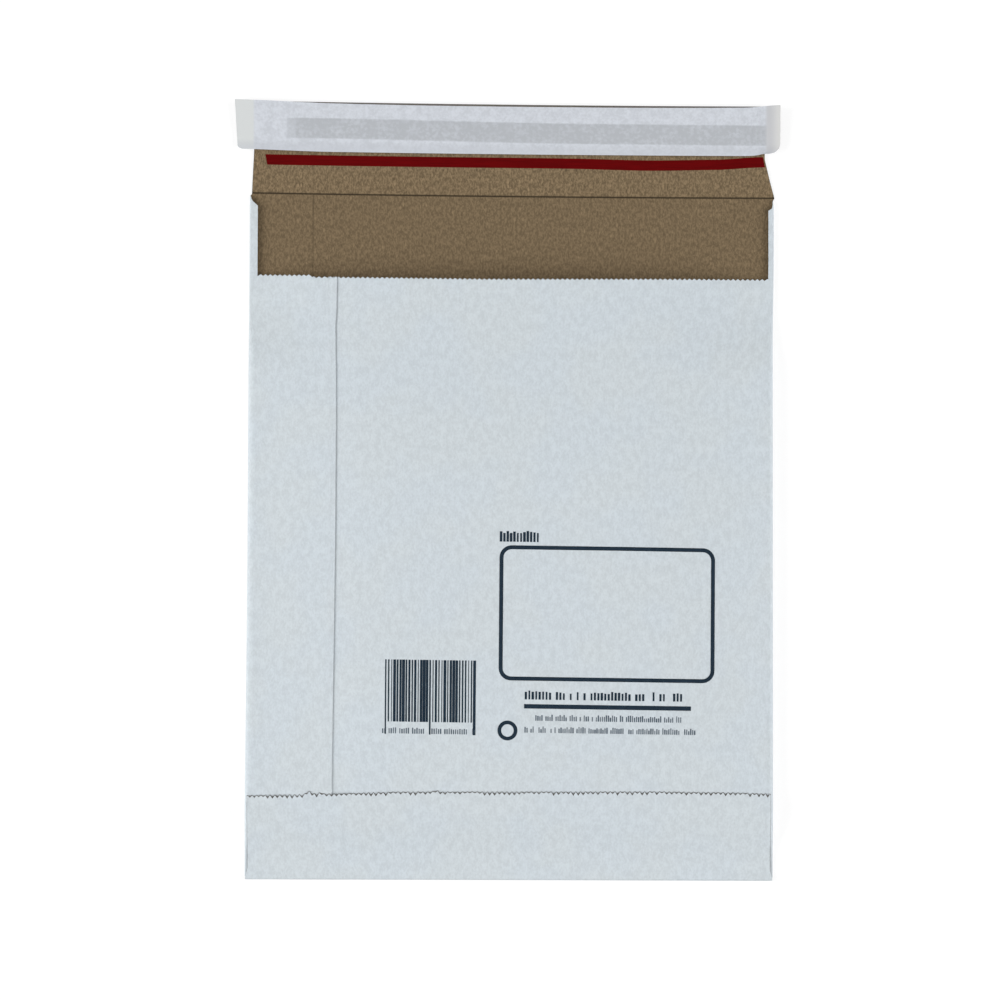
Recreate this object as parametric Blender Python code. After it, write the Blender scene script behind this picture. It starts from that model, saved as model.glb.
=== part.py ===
"""Paper padded mailer, open, lying on its far side with the seam side up.

A white outer ply and a brown inner ply share one outline, with a layer of shredded
paper between them. They are folded together into a flat tube, lapped and glued along
a seam on the near side. The far panel runs past the tube at both ends: at the top it
carries the closing flap, and at the bottom it is folded up and glued on the near side.

Every layer is cut as a flat blank, in girth (s) and length (v), and folded by fold().
Girth is 0 in the middle of the far panel and grows to the right. +Y runs to the flap,
+Z up, and the origin is under the middle of the closed footprint. Sizes are in metres.
"""

import math

import bmesh
import bpy
from mathutils import Vector

# Overall sizes
WIDTH = 0.215
LENGTH = 0.280
FLAP = 0.0382
BOTTOM_FLAP = 0.0357
MOUTH_SET_BACK = 0.0347

# Layers
OUTER_PLY = 0.00025
INNER_PLY = 0.00020
PADDING = 0.0016
CLEARANCE = 0.0003
GLUE = 0.0002

# Sides
LEFT = -1
RIGHT = 1

# Side folds, in the padded length, at the mouth and at the bottom
SIDE_ROOM = 0.0005
LIP_RADIUS = 0.0026
BOTTOM_ROOM = 0.0003
LIP_WIDTHS = {LEFT: 0.0040, RIGHT: 0.0022}
NOTCH_LENGTH = 0.0062
OPEN_LENGTH = 0.0015
OPEN_TURN = 0.30

# Seam on the near side, and how far its edge lies from the left side
SEAM_IN = 0.0365
SEAM_LAP = 0.0087
SEAM_MARGIN = 0.0010
SEAM_SINK = 0.5
SEAM_GLUE_WIDTH = 0.0055

# Bare margins at the ends of the padding, and the length over which it thins out
BOTTOM_MARGIN = 0.006
MOUTH_MARGIN = 0.010
THIN_BOTTOM = 0.024
THIN_MOUTH = 0.012
THIN_WIDTH = 0.008
PADDING_EDGE = 0.40
THIN_PARTS = (0, PADDING_EDGE, 0.7, 1)

# Fullness of the near side
BULGE = 0.0062
BOTTOM_RUN = 0.075
MOUTH_BULGE = 0.0034
MOUTH_RUN = 0.046
CROWN_POWER = 5

# Flap, its sides' insets from the full width at parts of its length, and its cut's errors
FLAP_RISE = 0.0020
FLAP_PARTS = (0, 0.18, 0.44, 0.72, 1)
FLAP_INSETS = {
    LEFT: (0.0008, 0.0011, 0.0016, 0.0019, 0.0022),
    RIGHT: (-0.0009, 0.0009, 0.0032, 0.0026, 0.0019),
}
CUT_SKEW = 0.0019
CUT_BOW = 0.0004
MOUTH_STEP = 0.0008

# Bottom flap
BOTTOM_INSET = 0.0012
BOTTOM_FLARE = 0.0040
NEAR_SET_BACK = 0.0005
BOTTOM_GLUE_INSET = 0.009

# Saw-toothed cuts
TOOTH_PITCH = 0.00195
TOOTH_DEPTH = 0.0006
TOOTH_BAND = 0.0015
TOOTH_SPARE = 0.15

# Strips on the flap
TEAR_LENGTH = 0.2038
TEAR_WIDTH = 0.0040
TEAR_THICK = 0.00012
TEAR_FROM_CREASE = 0.0142
TEAR_CENTRE = 0.0016
ADHESIVE_LENGTH = 0.1966
ADHESIVE_WIDTH = 0.0082
ADHESIVE_THICK = 0.00015
ADHESIVE_FROM_CREASE = 0.0269
ADHESIVE_CENTRE = 0.0065
RELEASE_LENGTH = 0.2236
RELEASE_WIDTH = 0.0200
RELEASE_THICK = 0.00012
RELEASE_FROM_CREASE = 0.0179
RELEASE_CENTRE = -0.0016
RELEASE_CORNER = 0.0028
RELEASE_LIFT = 0.0009
RELEASE_END_RISE = 0.0007

# Facets
ROLL_SEGMENTS = 6
CROWN_LINES = (0.29, 0.53, 0.72, 0.86)
FILL_PARTS = (0.35, 0.55, 0.75, 1)
CLOSE_PARTS = (0.75, 1)
STRIP_SEGMENTS = 8
RELEASE_PARTS = (0.25, 0.5)
CORNER_SEGMENTS = 4
SHARP_ANGLE = math.radians(40)
NEAR_ZERO = 1e-7

# Finishes: linear red, green and blue, and roughness
FINISHES = {
    "white_paper": ((0.60, 0.66, 0.71), 0.75),
    "brown_kraft": ((0.20, 0.14, 0.08), 0.85),
    "shredded_paper": ((0.34, 0.32, 0.29), 0.95),
    "red_film": ((0.13, 0.002, 0.004), 0.40),
    "clear_glue": ((0.62, 0.56, 0.42), 0.35),
    "release_paper": ((0.58, 0.62, 0.66), 0.45),
}

# Sizes that follow from the ones above
PLAIN_STACK = OUTER_PLY + CLEARANCE + INNER_PLY
PADDED_STACK = PLAIN_STACK + PADDING + CLEARANCE
LAP_ROOM = CLEARANCE + GLUE + CLEARANCE
SIDE_RADIUS = PADDED_STACK + SIDE_ROOM
BOTTOM_RADIUS = PLAIN_STACK + BOTTOM_ROOM
PANEL = WIDTH / 2 - SIDE_RADIUS
ROLL = math.pi * SIDE_RADIUS
FOLD_RADIUS = BOTTOM_RADIUS + (LAP_ROOM + PLAIN_STACK) / 2
FOLD_ARC = math.pi * FOLD_RADIUS

CREASE = LENGTH / 2
FLAP_END = CREASE + FLAP
MOUTH = CREASE - MOUTH_SET_BACK
NOTCH = CREASE - NOTCH_LENGTH
FOLD_START = -LENGTH / 2 + FOLD_RADIUS
NEAR_END = FOLD_START + NEAR_SET_BACK
FOLD_END = FOLD_START - FOLD_ARC
GLUE_TOP = -LENGTH / 2 + BOTTOM_FLAP - BOTTOM_GLUE_INSET
SEAM_X = SEAM_IN - WIDTH / 2
UNDERLAP_X = SEAM_X - SEAM_LAP

RIGHT_EDGE = PANEL + ROLL + (PANEL - UNDERLAP_X)
LEFT_EDGE = -(PANEL + ROLL + (PANEL + SEAM_X))
BARE_SEAM = SEAM_LAP + SEAM_MARGIN


def ramp(t):
    """0 below 0, 1 above 1, and a smooth rise between."""
    t = min(max(t, 0.0), 1.0)
    return t * t * (3 - 2 * t)


def side_of(s):
    return RIGHT if s > 0 else LEFT


def bottom_of(y):
    """The blank's length for a place y on the bottom flap, and the other way round."""
    return FOLD_START + FOLD_END - y


def fullness_up(v):
    return ramp((v + LENGTH / 2 - BOTTOM_MARGIN) / THIN_BOTTOM)


def fullness_down(v):
    return ramp((MOUTH - MOUTH_MARGIN - v) / THIN_MOUTH)


def padded_along(v):
    return min(fullness_up(v), fullness_down(v))


def padded_across(s):
    from_edge = min(RIGHT_EDGE - s, s - LEFT_EDGE)
    return ramp((from_edge - BARE_SEAM) / THIN_WIDTH)


def padded(s, v):
    return min(padded_along(v), padded_across(s))


def side_radius(v):
    full = LIP_RADIUS + (SIDE_RADIUS - LIP_RADIUS) * fullness_down(v)
    return BOTTOM_RADIUS + (full - BOTTOM_RADIUS) * fullness_up(v)


def near_height(x, v):
    """Height of the near panel's white face, without the seam."""
    radius = side_radius(v)
    across = min(abs(x) / (WIDTH / 2 - radius), 1.0)
    crown = (1 - across**CROWN_POWER) ** 2
    to_mouth = ramp((v - MOUTH + MOUTH_RUN) / MOUTH_RUN)
    bulge = BULGE * ramp((v + LENGTH / 2 - BOTTOM_MARGIN) / BOTTOM_RUN)
    bulge += (MOUTH_BULGE - BULGE) * to_mouth
    return 2 * radius + bulge * crown


def seam_sink(v):
    """How far the lower edge of the seam sinks into the room that the padding leaves."""
    return SEAM_SINK * (PADDED_STACK - PLAIN_STACK) * padded_along(v)


def seam_drop(s, v):
    """How far the near panel sinks beside its seam, where it has no padding."""
    under = seam_sink(v)
    if s > 0:
        return under * (1 - padded_across(s))
    return (under - PLAIN_STACK - LAP_ROOM) * (1 - padded_across(s))


def seam_lift(s, v):
    """How far the seam lifts the bottom flap where it crosses it."""
    lift = PLAIN_STACK + LAP_ROOM - seam_sink(v)
    rise = ramp((s - (SEAM_X - BARE_SEAM - THIN_WIDTH)) / THIN_WIDTH)
    fall = ramp((SEAM_X + SEAM_MARGIN + THIN_WIDTH - s) / THIN_WIDTH)
    return lift * min(rise, fall)


def flap_rise(v):
    t = max(v - CREASE, 0.0) / FLAP
    return FLAP_RISE * t * (1 + t) / 2


def cut_error(x, v):
    """The top end isn't cut quite square to the sides."""
    across = 2 * x / WIDTH
    along = (v + LENGTH / 2) / LENGTH
    return along * (CUT_BOW * across * across - CUT_SKEW / 2 * across)


def fold_bottom(s, x, v, depth):
    """A point past the bottom fold: round the fold, then up over the near side."""
    travel = FOLD_START - v
    if travel > FOLD_ARC:
        y = FOLD_START + travel - FOLD_ARC
        top = near_height(x, y) + seam_lift(s, y) + LAP_ROOM + PLAIN_STACK
        return y, top - depth
    turn = math.pi * travel / FOLD_ARC
    half = FOLD_RADIUS + seam_lift(s, FOLD_START) / 2
    y = FOLD_START - (FOLD_RADIUS - depth) * math.sin(turn)
    return y, half - (half - depth) * math.cos(turn)


def fold(s, v, depth):
    """Where a point of the blank ends up. Depth is measured in from the white face."""
    side = side_of(s)
    past = abs(s) - PANEL
    radius = side_radius(v)
    spread = (WIDTH / 2 - radius) / PANEL
    flat_x = side * (min(abs(s), PANEL) * spread + max(past, 0.0))
    if v <= FOLD_START + NEAR_ZERO:
        y, z = fold_bottom(s, flat_x, v, depth)
        return Vector((flat_x, y, z))
    flat_z = depth + flap_rise(v)
    x, z = flat_x, flat_z
    if past > ROLL:
        x = side * (PANEL + ROLL - past) * spread
        z = near_height(x, v) - seam_drop(s, v) - depth
    elif past > 0:
        turn = math.pi * past / ROLL
        x = side * (PANEL * spread + (radius - depth) * math.sin(turn))
        z = radius - (radius - depth) * math.cos(turn)
    open_out = ramp((v - CREASE + OPEN_LENGTH) / OPEN_LENGTH)
    x += (flat_x - x) * open_out
    z += (flat_z - z) * open_out
    return Vector((x, v + cut_error(x, v), z))


def outline(side):
    """Half girth of the far panel's two ends on one side, as corners of (v, s)."""
    spread = (WIDTH / 2 - BOTTOM_RADIUS) / PANEL
    tucked = PANEL - (PANEL * spread - WIDTH / 2 + BOTTOM_INSET) / spread
    flared = PANEL + BOTTOM_RADIUS - BOTTOM_ROOM
    lip = PANEL + ROLL + LIP_WIDTHS[side] - LIP_RADIUS
    full = PANEL + LIP_RADIUS
    bottom = [
        (bottom_of(-LENGTH / 2 + BOTTOM_FLAP), tucked),
        (FOLD_END - BOTTOM_FLARE, tucked),
        (FOLD_END, flared),
        (NEAR_END, flared),
    ]
    top = [(MOUTH, lip), (NOTCH, lip), (CREASE - OPEN_LENGTH, PANEL + ROLL * OPEN_TURN)]
    for part, inset in zip(FLAP_PARTS, FLAP_INSETS[side]):
        top.append((CREASE + FLAP * part, full - inset))
    return bottom, top


def half_girth(corners, v):
    for (v0, s0), (v1, s1) in zip(corners, corners[1:]):
        if v0 <= v <= v1:
            return s0 + (s1 - s0) * (v - v0) / (v1 - v0)
    return 0.0


def in_wrap(s, v):
    """True inside the outline that both plies share."""
    bottom, top = outline(side_of(s))
    if NEAR_END < v < MOUTH:
        return True
    on_left = s < -(PANEL + ROLL) and s > LEFT_EDGE + SEAM_LAP
    if on_left and MOUTH < v < MOUTH + MOUTH_STEP:
        return True
    return abs(s) < half_girth(bottom if v < 0 else top, v)


def spread_lines():
    """Girths at which the layers are divided, so that all of them bend in the same places."""
    crown = [PANEL * part * side for part in CROWN_LINES for side in (-1, 1)]
    thin = [THIN_WIDTH * part for part in THIN_PARTS]
    left_of_seam = [SEAM_X - BARE_SEAM - part for part in thin]
    right_of_seam = [SEAM_X + SEAM_MARGIN + part for part in thin]
    far = [0.0] + crown + left_of_seam + right_of_seam
    right = [2 * PANEL + ROLL - x for x in [0.0] + crown + right_of_seam if x > UNDERLAP_X]
    left_near = [x for x in crown if x < left_of_seam[-1]] + left_of_seam + [UNDERLAP_X]
    left = [-(2 * PANEL + ROLL + x) for x in left_near]
    rolls = [PANEL + ROLL * i / ROLL_SEGMENTS for i in range(ROLL_SEGMENTS + 1)]
    return sorted(far + right + left + rolls + [-s for s in rolls])


def length_lines():
    """Lengths at which the plies are divided."""
    thin_up = -LENGTH / 2 + BOTTOM_MARGIN
    up = [thin_up + THIN_BOTTOM * part for part in THIN_PARTS]
    down = [MOUTH - MOUTH_MARGIN - THIN_MOUTH * part for part in THIN_PARTS]
    fill = [thin_up + BOTTOM_RUN * part for part in FILL_PARTS]
    close = [MOUTH - MOUTH_RUN * part for part in CLOSE_PARTS]
    tube = [NEAR_END, GLUE_TOP] + up + fill + close + down + [MOUTH, MOUTH + MOUTH_STEP]
    toothed = [MOUTH - TOOTH_BAND, bottom_of(-LENGTH / 2 + BOTTOM_FLAP - TOOTH_BAND)]
    flap = [CREASE + FLAP * part for part in FLAP_PARTS]
    top = [NOTCH, CREASE - OPEN_LENGTH] + flap
    fold_lines = [FOLD_START - FOLD_ARC * i / ROLL_SEGMENTS for i in range(ROLL_SEGMENTS + 1)]
    under_flap = -LENGTH / 2 + BOTTOM_FLAP - 2 * TOOTH_BAND
    tucked = [y for y in [GLUE_TOP] + up + fill if y < under_flap]
    return tube + toothed + top + fold_lines + [bottom_of(y) for y in tucked]


def rectangle(s0, s1, v0, v1):
    """A flat blank of one face."""
    bm = bmesh.new()
    bmesh.ops.create_grid(bm, x_segments=1, y_segments=1, size=0.5)
    bmesh.ops.scale(bm, vec=(s1 - s0, v1 - v0, 1), verts=bm.verts)
    bmesh.ops.translate(bm, vec=((s0 + s1) / 2, (v0 + v1) / 2, 0), verts=bm.verts)
    return bm


def divide(bm, point, normal, faces=None):
    """Cuts the blank's faces along a line, leaving both sides."""
    faces = faces or bm.faces[:]
    edges = {edge for face in faces for edge in face.edges}
    verts = {vert for face in faces for vert in face.verts}
    geom = list(faces) + list(edges) + list(verts)
    bmesh.ops.bisect_plane(bm, geom=geom, plane_co=point, plane_no=normal, dist=NEAR_ZERO)


def cut_outline(bm, corners, side):
    """Divides the blank along each stretch of the outline on one side."""
    for (v0, s0), (v1, s1) in zip(corners, corners[1:]):
        faces = []
        for face in bm.faces:
            centre = face.calc_center_median()
            if v0 < centre.y < v1 and centre.x * side > 0:
                faces.append(face)
        normal = (v1 - v0, -side * (s1 - s0), 0)
        divide(bm, (side * s0, v0, 0), normal, faces)


def saw_teeth(bm, line, pull):
    """Turns the blank's cut edge on a line into saw teeth, pulled in by their depth."""
    half = TOOTH_PITCH / 2
    edges = [
        edge
        for edge in bm.edges
        if edge.is_boundary and all(abs(vert.co.y - line) < NEAR_ZERO for vert in edge.verts)
    ]
    on_line = {vert for edge in edges for vert in edge.verts}
    for edge in edges:
        low, high = sorted(edge.verts, key=lambda vert: vert.co.x)
        first = math.floor(low.co.x / half + TOOTH_SPARE) + 1
        last = math.ceil(high.co.x / half - TOOTH_SPARE) - 1
        for i in range(last, first - 1, -1):
            share = (i * half - low.co.x) / (high.co.x - low.co.x)
            tip = bmesh.utils.edge_split(edge, low, share)[1]
            edge = next(e for e in tip.link_edges if low in e.verts)
            on_line.add(tip)
            high = tip
    for vert in on_line:
        tooth = abs((vert.co.x / TOOTH_PITCH) % 1 - 0.5) * 2
        vert.co.y += pull * TOOTH_DEPTH * tooth


def divided_blank():
    """A blank around the whole wrap, divided where its layers bend.

    The padded length is put in triangles here, so that every layer bends alike."""
    bm = rectangle(LEFT_EDGE, RIGHT_EDGE, bottom_of(-LENGTH / 2 + BOTTOM_FLAP), FLAP_END)
    for s in spread_lines():
        divide(bm, (s, 0, 0), (1, 0, 0))
    for v in length_lines():
        divide(bm, (0, v, 0), (0, 1, 0))
    padded_faces = [face for face in bm.faces if padded_along(face.calc_center_median().y) > 0]
    bmesh.ops.triangulate(bm, faces=padded_faces)
    return bm


def ply_blank():
    """The outline that both plies share, cut flat."""
    bm = divided_blank()
    for side in (LEFT, RIGHT):
        for corners in outline(side):
            cut_outline(bm, corners, side)
    outside = []
    for face in bm.faces:
        centre = face.calc_center_median()
        if not in_wrap(centre.x, centre.y):
            outside.append(face)
    bmesh.ops.delete(bm, geom=outside, context="FACES")
    saw_teeth(bm, bottom_of(-LENGTH / 2 + BOTTOM_FLAP), 1)
    saw_teeth(bm, MOUTH, -1)
    saw_teeth(bm, MOUTH + MOUTH_STEP, -1)
    return bm


def padding_blank():
    """The padding's sheet, which stops short of the seam, the mouth and the bottom."""
    inset = BARE_SEAM + PADDING_EDGE * THIN_WIDTH
    v0 = -LENGTH / 2 + BOTTOM_MARGIN + PADDING_EDGE * THIN_BOTTOM
    v1 = MOUTH - MOUTH_MARGIN - PADDING_EDGE * THIN_MOUTH
    bm = divided_blank()
    outside = []
    for face in bm.faces:
        centre = face.calc_center_median()
        in_girth = LEFT_EDGE + inset < centre.x < RIGHT_EDGE - inset
        if not (in_girth and v0 < centre.y < v1):
            outside.append(face)
    bmesh.ops.delete(bm, geom=outside, context="FACES")
    return bm


def strip_blank(centre, middle, length, width, segments=STRIP_SEGMENTS):
    """A straight strip across the blank, divided along its length."""
    s0, s1 = centre - length / 2, centre + length / 2
    bm = rectangle(s0, s1, middle - width / 2, middle + width / 2)
    for i in range(1, segments):
        divide(bm, (s0 + (s1 - s0) * i / segments, 0, 0), (1, 0, 0))
    return bm


def release_blank():
    """The peel-off strip, longer than the flap is wide, with two rounded corners."""
    middle = CREASE + RELEASE_FROM_CREASE + RELEASE_WIDTH / 2
    bm = strip_blank(RELEASE_CENTRE, middle, RELEASE_LENGTH, RELEASE_WIDTH)
    low = min(vert.co.y for vert in bm.verts)
    corners = [vert for vert in bm.verts if len(vert.link_edges) == 2 and vert.co.y < low + NEAR_ZERO]
    for part in RELEASE_PARTS:
        divide(bm, (0, low + RELEASE_WIDTH * part, 0), (0, 1, 0))
    bmesh.ops.bevel(
        bm,
        geom=corners,
        affect="VERTICES",
        offset=RELEASE_CORNER,
        segments=CORNER_SEGMENTS,
        profile=0.5,
    )
    half, segment = RELEASE_LENGTH / 2, RELEASE_LENGTH / STRIP_SEGMENTS
    for vert in bm.verts:
        from_end = half - abs(vert.co.x - RELEASE_CENTRE)
        vert.co.y += RELEASE_END_RISE * max(1 - from_end / segment, 0.0)
    return bm


def seam_glue_blank():
    middle_x = SEAM_X - SEAM_LAP / 2
    middle = 2 * PANEL + ROLL - middle_x
    v0, v1 = NEAR_END + BOTTOM_MARGIN / 2, MOUTH - MOUTH_MARGIN / 2
    bm = rectangle(middle - SEAM_GLUE_WIDTH / 2, middle + SEAM_GLUE_WIDTH / 2, v0, v1)
    for v in length_lines():
        divide(bm, (0, v, 0), (0, 1, 0))
    return bm


def bottom_glue_blank():
    half = PANEL - BOTTOM_GLUE_INSET
    bm = rectangle(-half, half, bottom_of(GLUE_TOP), bottom_of(-LENGTH / 2 + BOTTOM_MARGIN))
    for s in spread_lines():
        divide(bm, (s, 0, 0), (1, 0, 0))
    for v in length_lines():
        divide(bm, (0, v, 0), (0, 1, 0))
    return bm


def outer_depths(s, v):
    return 0.0, OUTER_PLY


def inner_depths(s, v):
    top = OUTER_PLY + CLEARANCE + padded(s, v) * (PADDING + CLEARANCE)
    return top, top + INNER_PLY


def padding_depths(s, v):
    bottom = OUTER_PLY + padded(s, v) * (PADDING + CLEARANCE)
    return OUTER_PLY + CLEARANCE, bottom


def seam_glue_depths(s, v):
    return -CLEARANCE - GLUE, -CLEARANCE


def bottom_glue_depths(s, v):
    return PLAIN_STACK + CLEARANCE, PLAIN_STACK + CLEARANCE + GLUE


def tear_depths(s, v):
    return PLAIN_STACK + CLEARANCE, PLAIN_STACK + CLEARANCE + TEAR_THICK


def adhesive_depths(s, v):
    return PLAIN_STACK + CLEARANCE, PLAIN_STACK + CLEARANCE + ADHESIVE_THICK


def release_depths(s, v):
    """The strip lies on the adhesive, and its free lower margin stands up a little."""
    free = CREASE + ADHESIVE_FROM_CREASE - ADHESIVE_WIDTH / 2 - v
    span = ADHESIVE_FROM_CREASE - ADHESIVE_WIDTH / 2 - RELEASE_FROM_CREASE
    lift = RELEASE_LIFT * ramp(free / span)
    low = PLAIN_STACK + CLEARANCE + ADHESIVE_THICK + CLEARANCE + lift
    return low, low + RELEASE_THICK


def material(name, colour, roughness):
    """A plain finish, with the colour as linear red, green and blue."""
    finish = bpy.data.materials.new(name)
    finish.use_nodes = True
    finish.diffuse_color = (*colour, 1)
    shader = finish.node_tree.nodes["Principled BSDF"]
    shader.inputs["Base Color"].default_value = (*colour, 1)
    shader.inputs["Roughness"].default_value = roughness
    shader.inputs["Metallic"].default_value = 0.0
    return finish


def fold_piece(name, blank, depths, finish, collection, parent):
    """Gives a flat blank its thickness, folds it and adds it as a named object.

    It is divided into triangles while flat, so that its two faces bend alike."""
    bmesh.ops.triangulate(blank, faces=blank.faces[:])
    bmesh.ops.solidify(blank, geom=blank.faces[:], thickness=1.0)
    heights = sorted(vert.co.z for vert in blank.verts)
    middle = (heights[0] + heights[-1]) / 2
    for vert in blank.verts:
        low, high = depths(vert.co.x, vert.co.y)
        vert.co = fold(vert.co.x, vert.co.y, high if vert.co.z > middle else low)
    if blank.calc_volume(signed=True) < 0:
        bmesh.ops.reverse_faces(blank, faces=blank.faces[:])
    mesh = bpy.data.meshes.new(name)
    blank.to_mesh(mesh)
    blank.free()
    mesh.shade_smooth()
    mesh.set_sharp_from_angle(angle=SHARP_ANGLE)
    mesh.materials.append(finish)
    piece = bpy.data.objects.new(name, mesh)
    piece.parent = parent
    collection.objects.link(piece)
    return piece


def clear_scene():
    for thing in list(bpy.data.objects):
        bpy.data.objects.remove(thing, do_unlink=True)


def build():
    clear_scene()
    collection = bpy.data.collections.new("padded_mailer")
    bpy.context.scene.collection.children.link(collection)
    frame = bpy.data.objects.new("mailer_frame", None)
    collection.objects.link(frame)

    finishes = {}
    for name, (colour, roughness) in FINISHES.items():
        finishes[name] = material(name, colour, roughness)

    tear = strip_blank(TEAR_CENTRE, CREASE + TEAR_FROM_CREASE, TEAR_LENGTH, TEAR_WIDTH)
    adhesive_middle = CREASE + ADHESIVE_FROM_CREASE
    adhesive = strip_blank(ADHESIVE_CENTRE, adhesive_middle, ADHESIVE_LENGTH, ADHESIVE_WIDTH)
    pieces = (
        ("outer_wrap", ply_blank(), outer_depths, "white_paper"),
        ("inner_liner", ply_blank(), inner_depths, "brown_kraft"),
        ("padding", padding_blank(), padding_depths, "shredded_paper"),
        ("seam_glue", seam_glue_blank(), seam_glue_depths, "clear_glue"),
        ("bottom_flap_glue", bottom_glue_blank(), bottom_glue_depths, "clear_glue"),
        ("tear_strip", tear, tear_depths, "red_film"),
        ("adhesive_strip", adhesive, adhesive_depths, "clear_glue"),
        ("release_strip", release_blank(), release_depths, "release_paper"),
    )
    for name, blank, depths, finish in pieces:
        fold_piece(name, blank, depths, finishes[finish], collection, frame)


build()
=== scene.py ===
"""Looks of an open padded paper mailer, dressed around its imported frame.

The plies, the padding and the glue are sheets of paper that are cut flat, in girth (s) and
length (v), and folded by fold(). Girth is 0 in the middle of the far panel and grows to the
right. The strips on the flap and the print on the near side are made by Geometry Nodes.
Sizes are in metres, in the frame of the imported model.
"""

import math

import bpy
import numpy as np
from bpy.props import FloatProperty, FloatVectorProperty, IntProperty, PointerProperty
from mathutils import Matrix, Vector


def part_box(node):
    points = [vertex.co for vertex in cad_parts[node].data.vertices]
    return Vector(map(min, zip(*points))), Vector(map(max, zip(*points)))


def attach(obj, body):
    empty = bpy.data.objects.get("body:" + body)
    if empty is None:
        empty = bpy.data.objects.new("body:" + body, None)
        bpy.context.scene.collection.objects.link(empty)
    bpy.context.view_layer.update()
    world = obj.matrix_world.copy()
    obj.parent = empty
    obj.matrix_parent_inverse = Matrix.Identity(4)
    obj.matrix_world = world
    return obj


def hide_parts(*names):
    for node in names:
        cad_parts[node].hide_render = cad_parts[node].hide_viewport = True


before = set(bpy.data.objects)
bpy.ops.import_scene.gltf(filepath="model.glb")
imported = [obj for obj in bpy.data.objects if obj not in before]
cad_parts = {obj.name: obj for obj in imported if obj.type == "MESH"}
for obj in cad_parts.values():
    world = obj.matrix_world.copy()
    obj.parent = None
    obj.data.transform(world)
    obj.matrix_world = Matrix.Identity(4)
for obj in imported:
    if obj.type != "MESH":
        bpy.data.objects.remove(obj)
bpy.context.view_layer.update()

bl_info = {
    "name": "Padded Paper Mailer",
    "version": (1, 0, 0),
    "blender": (4, 5, 0),
    "location": "View3D > Sidebar > Mailer",
    "description": "Plies, strips, print and finishes of an open padded paper mailer",
    "category": "Object",
}

# Closed format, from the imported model
WRAP_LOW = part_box("outer_wrap")[0]
WIDTH = -2 * WRAP_LOW.x
LENGTH = -2 * WRAP_LOW.y
CREASE_PAST = 0.0004
FLAP = 0.0377
BOTTOM_FLAP = 0.0357
MOUTH_SET_BACK = 0.0347

# Layers, and the room between them
OUTER_PLY = 0.00017
INNER_PLY = 0.00013
PADDING = 0.0016
GAP = 0.00003
GLUE = 0.00006

# Sides
LEFT = -1
RIGHT = 1

# Side folds, in the padded length, at the mouth and at the bottom
SIDE_RADIUS = 0.00315
LIP_RADIUS = 0.0009
BOTTOM_ROOM = 0.0002
LIP_WIDTHS = {LEFT: 0.0033, RIGHT: 0.0022}
NOTCH_LENGTH = 0.0054
OPEN_LENGTH = 0.0018
OPEN_TURNS = {LEFT: 0.85, RIGHT: 0.60}
OPEN_HALVES = {LEFT: 0.1067, RIGHT: 0.1084}
LEFT_SPREAD = 0.006
RIGHT_SPREAD = 0.0055
SPREAD_FROM = 0.07
SPREAD_RUN = 0.05

# Seam on the near side, and how its edge leans: lengths, and shifts to the right
SEAM_IN = 0.0365
SEAM_LEAN = (
    (-0.105, 0.0, 0.05, 0.067, 0.0735, 0.0801, 0.0866, 0.0899, 0.0932, 0.103),
    (-0.001, -0.00025, -0.00018, -0.00032, -0.00027, 0.00015, 0.0005, 0.00102, 0.00122, 0.00131),
)
SEAM_LAP = 0.0087
SEAM_MARGIN = 0.0010
SEAM_SINK = 0.5
SEAM_GLUE_WIDTH = 0.0055

# Bare margins at the ends of the padding, and the length over which it thins out
BOTTOM_MARGIN = 0.006
MOUTH_MARGIN = 0.010
THIN_BOTTOM = 0.024
THIN_MOUTH = 0.030
THIN_WIDTH = 0.008
PADDING_EDGE = 0.40
PADDING_STOP = 0.0048

# Fullness of the near side
BOTTOM_RUN = 0.075
MOUTH_BULGE = 0.0025
MOUTH_RUN = 0.085
CROWN_POWER = 4
WAVES = ((61, 23, 0.4), (-34, 57, 1.9), (97, -41, 3.3), (18, 118, 5.1), (-142, -66, 0.9))

# Flap, its sides' insets from the full width at parts of its length, and its cut's errors
FLAP_RISE = 0.0020
FLAP_PARTS = (0, 0.18, 0.44, 0.72, 1)
FLAP_INSETS = {
    LEFT: (0.0008, 0.0011, 0.0016, 0.0019, 0.0022),
    RIGHT: (-0.0009, 0.0009, 0.0032, 0.0026, 0.0019),
}
CUT_SKEW = 0.0019
CUT_BOW = 0.0004
MOUTH_STEP = 0.0008
FLAP_RIM = 0.0011
# The mouth's cut: places across, and shifts up
MOUTH_PLACES = (-0.1075, -0.08, -0.0107, 0.045, 0.1075)
MOUTH_SHIFTS = (0.0008, 0.0006, 0.0003, 0.0008, 0.0015)
MOUTH_FADE = 0.02
CREASE_DENT = 0.00012
CREASE_HALF = 0.00035

# Bottom flap, its end's bow as girths and shifts up, and how far the kraft shows past the white
TAIL_GIRTHS = (-0.101, -0.073, -0.045, -0.004, 0.057, 0.088, 0.102)
TAIL_BOW = (-0.0013, -0.0007, 0.0003, 0.00044, 0.00067, 0.00033, -0.0001)
TAIL_RUN = 0.012
TAIL_RAGGED = 0.5
TAIL_BUMPS = ((-0.0790, 0.0014, 0.0013), (-0.0745, 0.0010, 0.0008), (-0.0290, 0.0012, 0.0006))
TAIL_NOTCH = 0.0004
TAIL_BAND = 0.0040
KRAFT_SHOW = 0.0002
KRAFT_SHOW_SIDES = 0.00010
BOTTOM_INSET = 0.0012
BOTTOM_FLARE = 0.0040
NEAR_SET_BACK = 0.0005
BOTTOM_GLUE_LENGTH = 0.0207
BOTTOM_GLUE_INSET = 0.009
GLUE_STEP = 0.003

# Saw-toothed cuts
TOOTH_PITCH = 0.00195
TOOTH_BAND = 0.0015
TEETH_SEED = 5
TEETH_DRAWN = 120

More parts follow.
